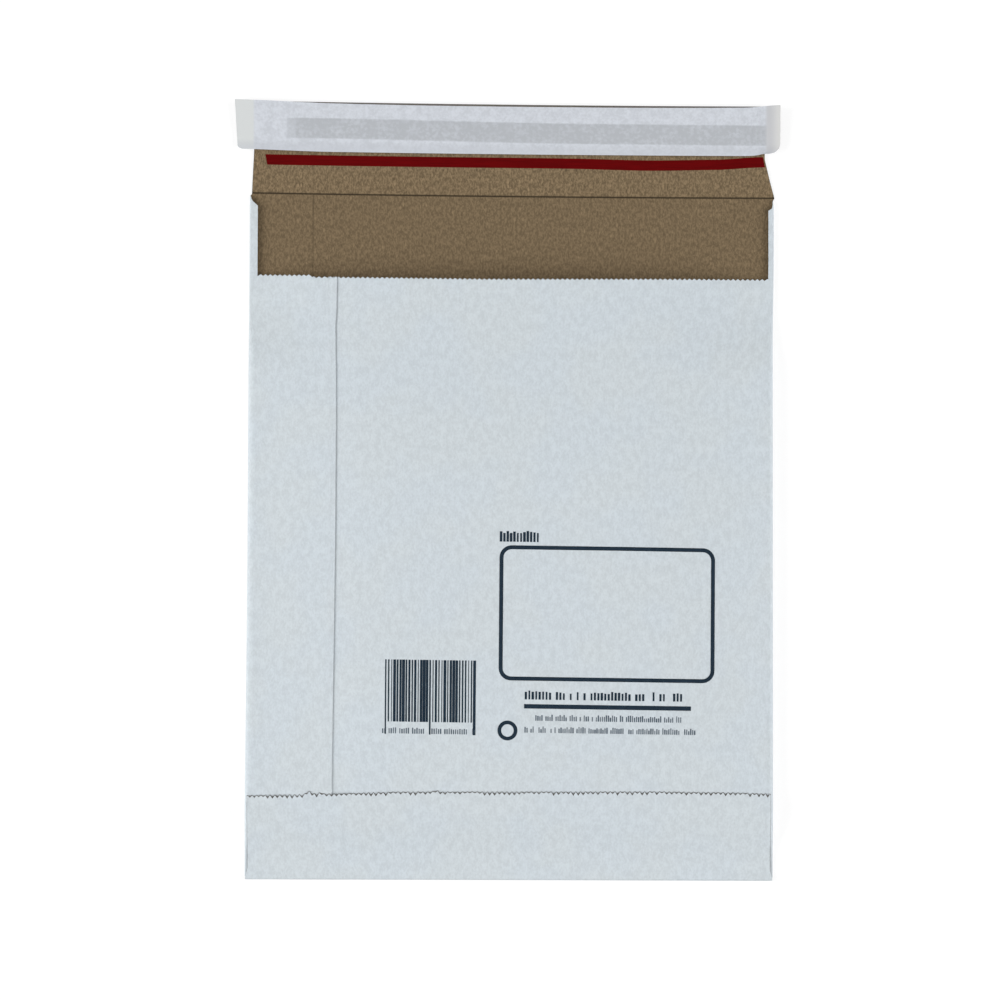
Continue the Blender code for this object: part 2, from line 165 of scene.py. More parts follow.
# Division of the plies: lines in each roll, how near to a fixed line none is added, as a
# share of half a tooth, and the angle from which an edge is sharp
ROLL_LINES = 23
TOO_NEAR = 0.35
SHARP = math.radians(40)

# Sizes that follow from the ones above
PLAIN_STACK = OUTER_PLY + GAP + INNER_PLY
PADDED_STACK = PLAIN_STACK + PADDING + GAP
LAP_ROOM = GAP + GLUE + GAP
BOTTOM_RADIUS = PLAIN_STACK + BOTTOM_ROOM
PANEL = WIDTH / 2 - SIDE_RADIUS
ROLL = math.pi * SIDE_RADIUS
FOLD_RADIUS = BOTTOM_RADIUS + (LAP_ROOM + PLAIN_STACK) / 2
FOLD_ARC = math.pi * FOLD_RADIUS
CREASE = LENGTH / 2 + CREASE_PAST
FLAP_END = CREASE + FLAP
MOUTH = LENGTH / 2 - MOUTH_SET_BACK
NOTCH = CREASE - NOTCH_LENGTH
FOLD_START = -LENGTH / 2 + FOLD_RADIUS
NEAR_END = FOLD_START + NEAR_SET_BACK
FOLD_END = FOLD_START - FOLD_ARC
TAIL = FOLD_START + FOLD_END + LENGTH / 2 - BOTTOM_FLAP
SEAM_X = SEAM_IN - WIDTH / 2
UNDERLAP_X = SEAM_X - SEAM_LAP
RIGHT_EDGE = PANEL + ROLL + (PANEL - UNDERLAP_X)
LEFT_EDGE = -(PANEL + ROLL + (PANEL + SEAM_X))
LIP_EDGES = {side: PANEL + ROLL + LIP_WIDTHS[side] - LIP_RADIUS for side in LIP_WIDTHS}
FLARED = PANEL + BOTTOM_RADIUS - BOTTOM_ROOM
BARE_SEAM = SEAM_LAP + SEAM_MARGIN
SQUEEZE_FROM = PANEL - 0.009

# Camera, where the photograph was taken from
CAMERA_PLACE = (0.0072, -0.0489, 1.500)
CAMERA_TURN = tuple(math.radians(angle) for angle in (2.453, 0.429, 0.147))
CAMERA_LENS = 131.72
SENSOR = 36
CAMERA_REACH = 20


def srgb(red, green, blue):
    """Linear light of a colour that is given as 0 to 255 on the screen."""
    shares = [channel / 255 for channel in (red, green, blue)]
    return tuple(c / 12.92 if c < 0.04045 else ((c + 0.055) / 1.055) ** 2.4 for c in shares)


def tinted(colour, *factors):
    return tuple(min(channel * factor, 1.0) for channel, factor in zip(colour, factors))


def shaded(colour, factor):
    return tinted(colour, factor, factor, factor)


# The fold


def ramp(t):
    """0 below 0, 1 above 1, and a smooth rise between."""
    t = np.clip(t, 0.0, 1.0)
    return t * t * (3 - 2 * t)


def fullness_up(v):
    return ramp((v + LENGTH / 2 - BOTTOM_MARGIN) / THIN_BOTTOM)


def fullness_down(v):
    return ramp((MOUTH - MOUTH_MARGIN - v) / THIN_MOUTH)


def padded_along(v):
    return np.minimum(fullness_up(v), fullness_down(v))


def padded_across(s):
    return ramp((np.minimum(RIGHT_EDGE - s, s - LEFT_EDGE) - BARE_SEAM) / THIN_WIDTH)


def padded(s, v):
    return np.minimum(padded_along(v), padded_across(s))


def side_radius(v):
    full = LIP_RADIUS + (SIDE_RADIUS - LIP_RADIUS) * fullness_down(v)
    return BOTTOM_RADIUS + (full - BOTTOM_RADIUS) * fullness_up(v)


def waves(x, y):
    """Faint dips in the paper over its padding, from 0 down to -1."""
    total = sum(np.sin(kx * x + ky * y + phase) for kx, ky, phase in WAVES)
    return (total / len(WAVES) - 1) / 2


def near_height(x, v):
    """Height of the near panel's white face, without the seam."""
    sizes = bpy.context.scene.mailer_sizes
    radius = side_radius(v)
    crown = (1 - np.minimum(np.abs(x) / (WIDTH / 2 - radius), 1.0) ** CROWN_POWER) ** 2
    to_mouth = ramp((v - MOUTH + MOUTH_RUN) / MOUTH_RUN)
    bulge = sizes.fullness * ramp((v + LENGTH / 2 - BOTTOM_MARGIN) / BOTTOM_RUN)
    bulge += (MOUTH_BULGE - sizes.fullness) * to_mouth
    bulge += 2 * (SIDE_RADIUS - LIP_RADIUS) * (1 - fullness_down(v))
    return 2 * radius + (bulge + sizes.waviness * waves(x, v) * padded_along(v)) * crown


def seam_sink(v):
    return SEAM_SINK * (PADDED_STACK - PLAIN_STACK) * padded_along(v)


def seam_drop(s, v):
    """How far the near panel sinks beside its seam, where it has no padding."""
    under = seam_sink(v)
    drop = np.where(s > 0, under, under - PLAIN_STACK - LAP_ROOM)
    return drop * (1 - padded_across(s))


def seam_lift(s, v):
    """How far the seam lifts the bottom flap where it crosses it."""
    lift = PLAIN_STACK + LAP_ROOM - seam_sink(v)
    rise = ramp((s - (SEAM_X - BARE_SEAM - THIN_WIDTH)) / THIN_WIDTH)
    fall = ramp((SEAM_X + SEAM_MARGIN + THIN_WIDTH - s) / THIN_WIDTH)
    return lift * np.minimum(rise, fall)


def flap_rise(v):
    t = np.maximum(v - CREASE, 0.0) / FLAP
    return FLAP_RISE * t * (1 + t) / 2


def cut_error(x, v):
    """The top end isn't cut quite square to the sides."""
    across = 2 * x / WIDTH
    along = (v + LENGTH / 2) / LENGTH
    return along * (CUT_BOW * across * across - CUT_SKEW / 2 * across)


def fold_bottom(s, x, v, depth):
    """A point past the bottom fold: round the fold, then up over the near side."""
    travel = FOLD_START - v
    flap_y = FOLD_START + travel - FOLD_ARC
    flap_z = near_height(x, flap_y) + seam_lift(s, flap_y) + LAP_ROOM + PLAIN_STACK - depth
    turn = np.pi * np.clip(travel / FOLD_ARC, 0, 1)
    half = FOLD_RADIUS + seam_lift(s, np.full_like(s, FOLD_START)) / 2
    fold_y = FOLD_START - (FOLD_RADIUS - depth) * np.sin(turn)
    fold_z = half - (half - depth) * np.cos(turn)
    on_flap = travel > FOLD_ARC
    return np.where(on_flap, flap_y, fold_y), np.where(on_flap, flap_z, fold_z)


def fold(s, v, depth):
    """Where points of the blank end up. Depth is measured in from the white face."""
    side = np.where(s > 0, 1.0, -1.0)
    past = np.abs(s) - PANEL
    radius = side_radius(v)
    spread = (WIDTH / 2 - radius) / PANEL
    flat_x = np.minimum(np.abs(s), PANEL) * spread + np.maximum(past, 0.0)
    limit = np.where(s > 0, OPEN_HALVES[RIGHT], OPEN_HALVES[LEFT])
    flat_x = side * np.where(v > MOUTH, np.minimum(flat_x, limit), flat_x)
    flat_z = depth + flap_rise(v)
    turn = np.pi * np.clip(past / ROLL, 0, 1)
    roll_x = side * (PANEL * spread + (radius - depth) * np.sin(turn))
    roll_z = radius - (radius - depth) * np.cos(turn)
    near_x = side * (PANEL + ROLL - past) * spread
    near_z = near_height(near_x, v) - seam_drop(s, v) - depth
    x = np.select([past <= 0, past <= ROLL], [flat_x, roll_x], near_x)
    z = np.select([past <= 0, past <= ROLL], [flat_z, roll_z], near_z)
    open_out = ramp((v - CREASE + OPEN_LENGTH) / OPEN_LENGTH)
    x += (flat_x - x) * open_out
    z += (flat_z - z) * open_out
    bottom_y, bottom_z = fold_bottom(s, flat_x, v, depth)
    below = v <= FOLD_START + GAP / 10
    y = np.where(below, bottom_y, v + cut_error(x, v))
    x = np.where(below, flat_x, x)
    wider = RIGHT_SPREAD * ramp((v - SPREAD_FROM) / SPREAD_RUN)
    wider = wider * ramp((CREASE - v) / (2 * OPEN_LENGTH))
    x = x * np.where(x < 0, 1 + LEFT_SPREAD * ramp(-v / CREASE), 1 + wider)
    return np.stack([x, y, np.where(below, bottom_z, z)], axis=1)


# The blanks


def bottom_outline():
    """Half girth of the bottom flap, as lengths and girths."""
    spread = (WIDTH / 2 - BOTTOM_RADIUS) / PANEL
    inset = PANEL - (PANEL * spread - WIDTH / 2 + BOTTOM_INSET) / spread
    return [TAIL, FOLD_END - BOTTOM_FLARE, FOLD_END, NEAR_END], [inset, inset, FLARED, FLARED]


def top_outline(side):
    """Half girth of the far panel's top end and the flap, as lengths and girths."""
    lengths = [MOUTH, NOTCH, CREASE - OPEN_LENGTH]
    girths = [LIP_EDGES[side], LIP_EDGES[side], PANEL + ROLL * OPEN_TURNS[side]]
    for part, inset in zip(FLAP_PARTS, FLAP_INSETS[side]):
        lengths.append(CREASE + FLAP * part)
        girths.append(PANEL + LIP_RADIUS - inset)
    return lengths, girths


def stretches(*parts):
    """Lines through stretches that are each given as a start, an end and a step."""
    lines = []
    for start, end, step in parts:
        count = max(int(round((end - start) / step)), 1)
        lines.extend(np.linspace(start, end, count + 1))
    return np.unique(np.round(lines, 7))


def blank_lengths():
    """Lengths at which the plies are divided, as stretches with their steps."""
    bottom = -LENGTH / 2 + BOTTOM_MARGIN
    mouth_end = MOUTH - MOUTH_MARGIN
    return stretches(
        (TAIL, TAIL + TAIL_BAND, 0.0020),
        (TAIL + TAIL_BAND, FOLD_END - BOTTOM_FLARE, 0.0045),
        (FOLD_END - BOTTOM_FLARE, FOLD_END, 0.0013),
        (FOLD_END, FOLD_START, 0.0003),
        (FOLD_START, NEAR_END, NEAR_SET_BACK),
        (NEAR_END, bottom, 0.002),
        (bottom, bottom + THIN_BOTTOM, 0.003),
        (bottom + THIN_BOTTOM, MOUTH - MOUTH_RUN, 0.0055),
        (MOUTH - MOUTH_RUN, mouth_end - THIN_MOUTH, 0.004),
        (mouth_end - THIN_MOUTH, mouth_end, 0.002),
        (mouth_end, MOUTH - TOOTH_BAND, 0.0028),
        (MOUTH - TOOTH_BAND, MOUTH, 0.0008),
        (MOUTH, NOTCH, 0.0055),
        (NOTCH, CREASE - OPEN_LENGTH, 0.0008),
        (CREASE - OPEN_LENGTH, CREASE + 0.001, 0.00025),
        (CREASE + 0.001, FLAP_END - FLAP_RIM, 0.0030),
        (FLAP_END - FLAP_RIM, FLAP_END, FLAP_RIM),
    )


def blank_girths():
    """Girths at which the plies are divided: at half the teeth's pitch, and finer in the rolls."""
    half = TOOTH_PITCH / 2
    fixed = [LEFT_EDGE, LEFT_EDGE + SEAM_LAP, -FLARED, FLARED, RIGHT_EDGE]
    for side in (LEFT, RIGHT):
        fixed.extend(side * np.linspace(PANEL, PANEL + ROLL, ROLL_LINES))
        fixed.append(side * LIP_EDGES[side])
    fixed = np.array(fixed)
    even = np.arange(math.ceil(LEFT_EDGE / half), RIGHT_EDGE / half) * half
    free = [s for s in even if np.abs(fixed - s).min() > half * TOO_NEAR]
    return np.unique(np.round(np.concatenate([fixed, free]), 7))


def lip_edge(s):
    return np.where(s < 0, LIP_EDGES[LEFT], LIP_EDGES[RIGHT])


def follow_outline(s, v, lengths, girths, full):
    """Squeezes the outer girths of a row so that the last one lies on the outline."""
    half = np.interp(v, lengths, girths)
    share = (half - SQUEEZE_FROM) / (full - SQUEEZE_FROM)
    past = np.maximum(np.abs(s) - SQUEEZE_FROM, 0.0)
    return s + np.sign(s) * past * (share - 1)


def tooth(s):
    """Saw teeth along the girth, from 0 to 1."""
    return np.abs((s / TOOTH_PITCH) % 1 - 0.5) * 2


def ragged_teeth(s, depth):
    """The bottom flap's teeth, torn to uneven depths, with a few bumps."""
    torn = np.random.default_rng(TEETH_SEED).uniform(-TAIL_RAGGED, TAIL_RAGGED, TEETH_DRAWN)
    index = np.floor(s / TOOTH_PITCH).astype(int) % TEETH_DRAWN
    teeth = depth * tooth(s) * (1 + torn[index])
    for place, half, size in TAIL_BUMPS:
        teeth = teeth - size * np.exp(-(((s - place) / half) ** 2))
    return teeth


def mouth_shift(s, v):
    """How far the mouth's cut lies up from a straight one, faded out below and above it."""
    near = np.sign(s) * (2 * PANEL + ROLL - np.abs(s))
    shift = np.interp(near, MOUTH_PLACES, MOUTH_SHIFTS)
    return shift * ramp((np.abs(s) - PANEL) / ROLL) * ramp(1 - np.abs(v - MOUTH) / MOUTH_FADE)


def ply_blank(show=0.0):
    """Girths, lengths and kept cells of a ply. Its bottom flap may show past the other one's."""
    depth = bpy.context.scene.mailer_sizes.tooth_depth
    girths, lengths = blank_girths(), blank_lengths()
    s, v = np.meshgrid(girths, lengths)
    middles = [(lines[1:] + lines[:-1]) / 2 for lines in (girths, lengths)]
    middle_s, middle_v = np.meshgrid(*middles)
    keep = (middle_v > NEAR_END) & (middle_v < MOUTH)
    keep |= (middle_v > MOUTH) & (np.abs(middle_s) < lip_edge(middle_s))
    keep |= (middle_v < NEAR_END) & (np.abs(middle_s) < FLARED)
    cut = np.abs(v - MOUTH) < GAP
    panel = cut & (np.abs(s) > lip_edge(s) + GAP)
    left = panel & (s < 0) & (s > LEFT_EDGE + SEAM_LAP + GAP)
    shaped = s
    for side in (LEFT, RIGHT):
        at_top = (v > MOUTH - GAP) & (s * side > 0)
        top = follow_outline(s, v, *top_outline(side), LIP_EDGES[side])
        shaped = np.where(at_top, top, shaped)
    lengths, half = bottom_outline()
    if show:
        half = [girth + KRAFT_SHOW_SIDES for girth in half[:2]] + half[2:]
    shaped = np.where(v < NEAR_END + GAP, follow_outline(s, v, lengths, half, FLARED), shaped)
    tail = np.abs(v - TAIL) < GAP
    bow = np.interp(s, TAIL_GIRTHS, TAIL_BOW) * ramp((TAIL + TAIL_RUN - v) / TAIL_RUN)
    bow = bow + show * tail
    notched = depth if show else depth + TAIL_NOTCH
    lean = np.interp(v, *SEAM_LEAN) * ramp((LEFT_EDGE + SEAM_LAP - s) / SEAM_LAP)
    v = v - depth * tooth(s) * panel + MOUTH_STEP * left + ragged_teeth(s, notched) * tail - bow
    v = v + mouth_shift(s, v)
    body = (v > NEAR_END + GAP) & (v < MOUTH + MOUTH_STEP) & ~(cut & ~panel)
    return np.where(body, s - lean, shaped), v, keep


def plain_blank(girths, lengths):
    s, v = np.meshgrid(girths, lengths)
    return s, v, np.ones((len(lengths) - 1, len(girths) - 1), bool)


def closed_sheet(name, blank, depths, finish):
    """Gives a blank its thickness, folds it and adds it as a closed, thin solid."""
    s, v, keep = blank
    rows, cols = s.shape
    cells = np.zeros((rows, cols), int)
    for down in (0, 1):
        for across in (0, 1):
            cells[down : rows - 1 + down, across : cols - 1 + across] += keep
    used = cells > 0
    count = int(used.sum())
    index = np.full((rows, cols), -1)
    index[used] = np.arange(count)
    flat_s, flat_v = s[used], v[used]
    low, high = depths(flat_s, flat_v)
    points = np.concatenate([fold(flat_s, flat_v, low), fold(flat_s, flat_v, high)])
    rim = (cells[used] < 4).astype(np.float32)

    a, b = index[:-1, :-1][keep], index[:-1, 1:][keep]
    d, c = index[1:, :-1][keep], index[1:, 1:][keep]
    faces = [np.stack([a, d, c, b], 1), np.stack([a, b, c, d], 1) + count]
    above = np.vstack([keep, np.zeros((1, cols - 1), bool)])
    under = np.vstack([np.zeros((1, cols - 1), bool), keep])
    right = np.hstack([keep, np.zeros((rows - 1, 1), bool)])
    left = np.hstack([np.zeros((rows - 1, 1), bool), keep])
    for one, other, first, second in (
        (above, under, index[:, :-1], index[:, 1:]),
        (under, above, index[:, 1:], index[:, :-1]),
        (right, left, index[1:, :], index[:-1, :]),
        (left, right, index[:-1, :], index[1:, :]),
    ):
        edge = one & ~other
        p, q = first[edge], second[edge]
        faces.append(np.stack([p, q, q + count, p + count], 1))

    mesh = bpy.data.meshes.new(name)
    mesh.from_pydata(points.tolist(), [], np.concatenate(faces).tolist())
    corners = np.empty(len(mesh.loops), np.int32)
    mesh.loops.foreach_get("vertex_index", corners)
    sheet = np.stack([flat_s, flat_v], 1)[corners % count]
    mesh.uv_layers.new(name="sheet").data.foreach_set("uv", sheet.astype(np.float32).ravel())
    mesh.attributes.new("rim", "FLOAT", "POINT").data.foreach_set("value", np.tile(rim, 2))
    mesh.shade_smooth()
    mesh.set_sharp_from_angle(angle=SHARP)
    mesh.materials.append(finish)
    return add_object(name, mesh)


def add_object(name, data):
    made = bpy.data.objects.new(name, data)
    bpy.context.scene.collection.objects.link(made)
    return made


def mount(piece, slot, *nodes):
    """The envelope has one body, and each piece stands for its own CAD nodes."""
    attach(piece, "root")
    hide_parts(*nodes)


def outer_depths(s, v):
    return np.zeros_like(s), np.full_like(s, OUTER_PLY)


def inner_depths(s, v):
    top = OUTER_PLY + GAP + padded(s, v) * (PADDING + GAP)
    dent = CREASE_DENT * np.exp(-(((v - CREASE) / CREASE_HALF) ** 2))
    return top, top + INNER_PLY - dent


def padding_depths(s, v):
    return np.full_like(s, OUTER_PLY + GAP), OUTER_PLY + padded(s, v) * (PADDING + GAP)


def seam_glue_depths(s, v):
    return np.full_like(s, -GAP - GLUE), np.full_like(s, -GAP)


def bottom_glue_depths(s, v):
    return np.full_like(s, PLAIN_STACK + GAP), np.full_like(s, PLAIN_STACK + GAP + GLUE)


# Node trees


class Field:
    """A number that varies over a surface, with the usual arithmetic."""

    def __init__(self, tree, socket):
        self.tree = tree
        self.socket = socket

    def math(self, operation, *others, clamp=False):
        node = self.tree.nodes.new("ShaderNodeMath")
        node.operation = operation
        node.use_clamp = clamp
        plug_all(self.tree, (self, *others), node)
        return Field(self.tree, node.outputs[0])

    def __add__(self, other):
        return self.math("ADD", other)

    def __sub__(self, other):
        return self.math("SUBTRACT", other)

    def __rsub__(self, other):
        return (self * -1) + other

    def __mul__(self, other):
        return self.math("MULTIPLY", other)

    def __truediv__(self, other):
        return self.math("DIVIDE", other)

    __radd__ = __add__
    __rmul__ = __mul__

    def size(self):
        return self.math("ABSOLUTE")

    def clamped(self):
        return self.math("ADD", 0.0, clamp=True)

    def ramp(self, start=0.0, end=1.0, low=0.0, high=1.0):
        """A smooth rise from low at start to high at end."""
        node = self.tree.nodes.new("ShaderNodeMapRange")
        node.interpolation_type = "SMOOTHSTEP"
        plug_all(self.tree, (self, start, end, low, high), node)
        return Field(self.tree, node.outputs[0])


def plug(tree, item, slot):
    """Links a field or a socket to an input, or sets the input to a plain value."""
    if isinstance(item, Field):
        tree.links.new(item.socket, slot)
    elif isinstance(item, bpy.types.NodeSocket):
        tree.links.new(item, slot)
    else:
        slot.default_value = item


def plug_all(tree, items, node):
    for item, slot in zip(items, node.inputs):
        plug(tree, item, slot)


def place_node(tree, kind, settings=None, **inputs):
    """Adds a node. Its settings are attributes, and its inputs go by name, with _ for a space."""
    node = tree.nodes.new(kind)
    for name, value in (settings or {}).items():
        setattr(node, name, value)
    for name, item in inputs.items():
        plug(tree, item, node.inputs[name.replace("_", " ")])
    return node


def separate(tree, vector):
    node = place_node(tree, "ShaderNodeSeparateXYZ", Vector=vector)
    return [Field(tree, socket) for socket in node.outputs]


def combine(tree, *parts):
    node = tree.nodes.new("ShaderNodeCombineXYZ")
    plug_all(tree, parts, node)
    return node.outputs[0]


SOCKET_KINDS = {float: "Float", int: "Int"}


def new_tree(name, inputs, *masks):
    """A node group, its inputs as fields by name, and its end node.

    Each input goes with its default, or with its kind where it has none. A shader group puts
    out masks and heights, and any other tree puts out its geometry.
    """
    tree = bpy.data.node_groups.new(name, "ShaderNodeTree" if masks else "GeometryNodeTree")
    for label, value in inputs.items():
        socket = SOCKET_KINDS.get(type(value), value)
        made = tree.interface.new_socket(
            label, in_out="INPUT", socket_type="NodeSocket" + socket
        )
        if socket != value:
            made.default_value = value
    out = "NodeSocketFloat" if masks else "NodeSocketGeometry"
    for label in masks or ("Geometry",):
        tree.interface.new_socket(label, in_out="OUTPUT", socket_type=out)
    start = tree.nodes.new("NodeGroupInput")
    given = {socket.name: Field(tree, socket) for socket in start.outputs if socket.name}
    return tree, given, tree.nodes.new("NodeGroupOutput")


def set_inputs(piece, tree, values):
    """Puts a tree on a piece and sets its inputs by their identifiers."""
    modifier = piece.modifiers.new(tree.name, "NODES")
    modifier.node_group = tree
    for item in tree.interface.items_tree:
        if item.item_type == "SOCKET" and item.in_out == "INPUT" and item.name in values:
            modifier[item.identifier] = values[item.name]


def grown_piece(name, tree, values):
    """A piece whose mesh a Geometry Nodes tree makes, baked to a plain mesh."""
    seed = add_object(name, bpy.data.meshes.new(name))
    set_inputs(seed, tree, values)
    bpy.context.view_layer.update()
    graph = bpy.context.evaluated_depsgraph_get()
    mesh = bpy.data.meshes.new_from_object(seed.evaluated_get(graph))
    seed.modifiers.clear()
    seed.data = mesh
    mesh.name = name
    if not mesh.polygons:
        raise RuntimeError(f"{name} came out empty")
    return seed


def move(tree, geometry, **where):
    return place_node(tree, "GeometryNodeSetPosition", Geometry=geometry, **where).outputs[0]


def finish_tree(tree, geometry, given, end):
    """Ends a tree with its instances made real and its material set."""
    real = place_node(tree, "GeometryNodeRealizeInstances", Geometry=geometry)
    dress = place_node(
        tree, "GeometryNodeSetMaterial", Geometry=real.outputs[0], Material=given["Material"]
    )
    tree.links.new(dress.outputs[0], end.inputs[0])
    return tree


STRIP_INPUTS = {
    "Length": 0.2, "Width": 0.01, "Thickness": 0.00012, "Columns": 120, "Rows": 12,
    "Middle X": 0.0, "Middle Y": CREASE, "Height": PLAIN_STACK,
    "Left Slant": 0.0, "Right Slant": 0.0,
    "Left Rise": 0.0, "Left Run": 0.02, "Right Rise": 0.0, "Right Run": 0.02,
    "Dip": 0.0, "Dip X": 0.0, "Dip Half": 0.04, "Top Sag": 0.0,
    "Corner": 0.0, "Corner End": 0.0, "Free From": 0.0, "Free Lift": 0.0,
    "Curl Length": 0.012, "Curl Lift": 0.0, "Material": "Material",
}
SIDE_BLEND = 0.001
SMALLEST_RADIUS = 1e-6


def flap_strip_tree():
    """A thin strip that lies on the open flap and follows its cut and its rise."""
    tree, given, end = new_tree("Strip on the flap", STRIP_INPUTS)
    length, width, thick = given["Length"], given["Width"], given["Thickness"]
    block = place_node(
        tree,
        "GeometryNodeMeshCube",
        Size=combine(tree, length, width, thick),
        Vertices_X=given["Columns"],
        Vertices_Y=given["Rows"],
        Vertices_Z=2,
    )
    x, y, z = separate(tree, tree.nodes.new("GeometryNodeInputPosition").outputs[0])

    to_left = (length / 2 - x.size()) * -1 + given["Curl Length"]
    near_end = (to_left / given["Curl Length"]).ramp()
    right = x.ramp(-SIDE_BLEND, SIDE_BLEND)
    left = 1 - right
    slant = given["Left Slant"] * left + given["Right Slant"] * right
    slid = x + given["Middle X"] + slant * (y / width) * near_end
    radius = given["Corner"] + (given["Corner End"] - given["Corner"]) * right
    fall = (1 - (y + width / 2) / radius.math("MAXIMUM", SMALLEST_RADIUS)).clamped()
    cut = radius * (1 - (1 - fall * fall).math("SQRT"))
    slid = slid - x.math("SIGN") * cut * near_end

    away = (slid - given["Dip X"]) / given["Dip Half"]
    bell = (away * away * -1).math("EXPONENT")
    broad = (away * away * away * away * -1).math("EXPONENT")
    at_left = (given["Left Run"] - length / 2 - x) / given["Left Run"]
    at_right = (given["Right Run"] - length / 2 + x) / given["Right Run"]
    ends = given["Left Rise"] * at_left.ramp() + given["Right Rise"] * at_right.ramp()
    sag = given["Dip"] * bell + given["Top Sag"] * (y / width + 0.5) * broad
    level = given["Middle Y"] + y - sag + ends
    across = slid * (2 / WIDTH)
    along = (level + LENGTH / 2) / LENGTH
    skew = along * (across * across * CUT_BOW - across * (CUT_SKEW / 2))
    t = (level - CREASE).math("MAXIMUM", 0.0) / FLAP
    rise = t * (1 + t) * (FLAP_RISE / 2)
    free = (given["Free From"] - level) / (given["Free From"] - given["Middle Y"] + width / 2)
    lift = given["Free Lift"] * free.ramp()
    curl = given["Curl Lift"] * near_end * near_end * right
    height = z + thick / 2 + given["Height"] + rise + lift + curl
    place = combine(tree, slid, level + skew, height)
    return finish_tree(tree, move(tree, block.outputs["Mesh"], Position=place), given, end)


PRINT_INPUTS = {
    "Film": 0.00002, "Film Gap": 0.00002, "Turn": 0.0, "Lean": 0.0,
    "Pivot X": 0.0, "Pivot Y": 0.0, "Paper": "Object", "Material": "Material",
}


def finish_print(tree, geometry, given, end):
    """Turns a flat, thin film a little and drops it onto the paper, point by point."""
    flat_x, flat_y, z = separate(tree, tree.nodes.new("GeometryNodeInputPosition").outputs[0])
    x = flat_x - given["Lean"] * (flat_y - given["Pivot Y"])
    y = flat_y + given["Turn"] * (flat_x - given["Pivot X"])
    paper = place_node(
        tree, "GeometryNodeObjectInfo", {"transform_space": "ORIGINAL"}, Object=given["Paper"]
    )
    look = place_node(
        tree,
        "GeometryNodeRaycast",
        Target_Geometry=paper.outputs["Geometry"],
        Source_Position=combine(tree, x, y, WIDTH),
        Ray_Direction=(0, 0, -1),
        Ray_Length=2 * WIDTH,
    )
    ground = separate(tree, look.outputs["Hit Position"])[2]
    place = combine(tree, x, y, ground + given["Film Gap"] + z)
    return finish_tree(tree, move(tree, geometry, Position=place), given, end)


def chance(tree, seed):
    """A seeded random number from 0 to 1 for each point."""
    return Field(tree, place_node(tree, "FunctionNodeRandomValue", Seed=seed).outputs[1])


def print_row_tree():
    """A row of printed bars on one line, with seeded widths, heights and spaces."""
    inputs = {
        "Left": 0.0, "Top": 0.0, "Length": 0.04, "Height": 0.02, "Count": 20,
        "Narrow": 0.3, "Wide": 0.9, "Width Power": 1.0, "Lowest": 1.0, "Kept": 1.0,
        "Long Every": 0, "Long By": 0.0, "Seed": 1, "Rows": 6, **PRINT_INPUTS,
    }
    tree, given, end = new_tree("Printed row", inputs)
    full, every, seed = given["Height"], given["Long Every"], given["Seed"]
    pitch = given["Length"] / given["Count"]
    index = Field(tree, tree.nodes.new("GeometryNodeInputIndex").outputs[0])
    row = place_node(tree, "GeometryNodeMeshLine", Count=given["Count"])
    long_bar = index.math("MODULO", every.math("MAXIMUM", 1)).math("LESS_THAN", 0.5)
    extra = given["Long By"] * (long_bar * every.math("MINIMUM", 1))
    tall = full * (given["Lowest"] + (1 - given["Lowest"]) * chance(tree, seed + 1))
    middle = given["Left"] + pitch * (index + 0.5)
    level = given["Top"] - full + (tall - extra) / 2
    unit = place_node(tree, "GeometryNodeMeshCube", Size=(1, 1, 1), Vertices_Y=given["Rows"])
    share = chance(tree, seed).math("POWER", given["Width Power"])
    width = (given["Narrow"] + (given["Wide"] - given["Narrow"]) * share) * pitch
    bars = place_node(
        tree,
        "GeometryNodeInstanceOnPoints",
        Points=move(tree, row.outputs[0], Position=combine(tree, middle, level, 0.0)),
        Selection=chance(tree, seed + 2).math("LESS_THAN", given["Kept"]),
        Instance=unit.outputs[0],
        Scale=combine(tree, width, tall + extra, given["Film"]),
    )
    real = place_node(tree, "GeometryNodeRealizeInstances", Geometry=bars.outputs[0])
    return finish_print(tree, real.outputs[0], given, end)


CORNER_POINTS = 12
LINE_STEP = 0.0006


def print_frame_tree():
    """A printed line round a rectangle with round corners."""
    inputs = {
        "Middle X": 0.0, "Middle Y": 0.0, "Width": 0.08, "Height": 0.05,
        "Corner": 0.004, "Line": 0.0015, **PRINT_INPUTS,
    }
    tree, given, end = new_tree("Printed frame", inputs)
    shape, section = (
        place_node(
            tree, "GeometryNodeCurvePrimitiveQuadrilateral", Width=given[wide], Height=given[high]
        ).outputs[0]
        for wide, high in (("Width", "Height"), ("Line", "Film"))
    )
    rounded = place_node(
        tree,
        "GeometryNodeFilletCurve",
        {"mode": "POLY"},
        Curve=shape,
        Radius=given["Corner"],
        Count=CORNER_POINTS,
    )
    even = place_node(
        tree,
        "GeometryNodeResampleCurve",
        {"mode": "LENGTH"},
        Curve=rounded.outputs[0],
        Length=LINE_STEP,
    )
    line = place_node(
        tree, "GeometryNodeCurveToMesh", Curve=even.outputs[0], Profile_Curve=section
    )
    place = combine(tree, given["Middle X"], given["Middle Y"], 0.0)
    return finish_print(tree, move(tree, line.outputs[0], Offset=place), given, end)


# Shared shader effects


def paper_fibre_group():
    """Cloudy pulp with a fine grain: a shade and a height, each from 0 to 1."""
    inputs = {"Vector": "Vector", "Grain": 900.0, "Cloud": 220.0, "Stretch": 1.0}
    tree, given, end = new_tree("Paper fibre", inputs, "Shade", "Height")
    x, y, z = separate(tree, given["Vector"])
    along = combine(tree, x, y / given["Stretch"], z)
    fine = noise(tree, along, given["Grain"], Detail=3, Roughness=0.6)
    soft = noise(tree, along, given["Cloud"], Detail=2)
    plug(tree, fine * 0.55 + soft * 0.45, end.inputs["Shade"])
    plug(tree, fine * 0.35 + soft * 0.65, end.inputs["Height"])
    return tree


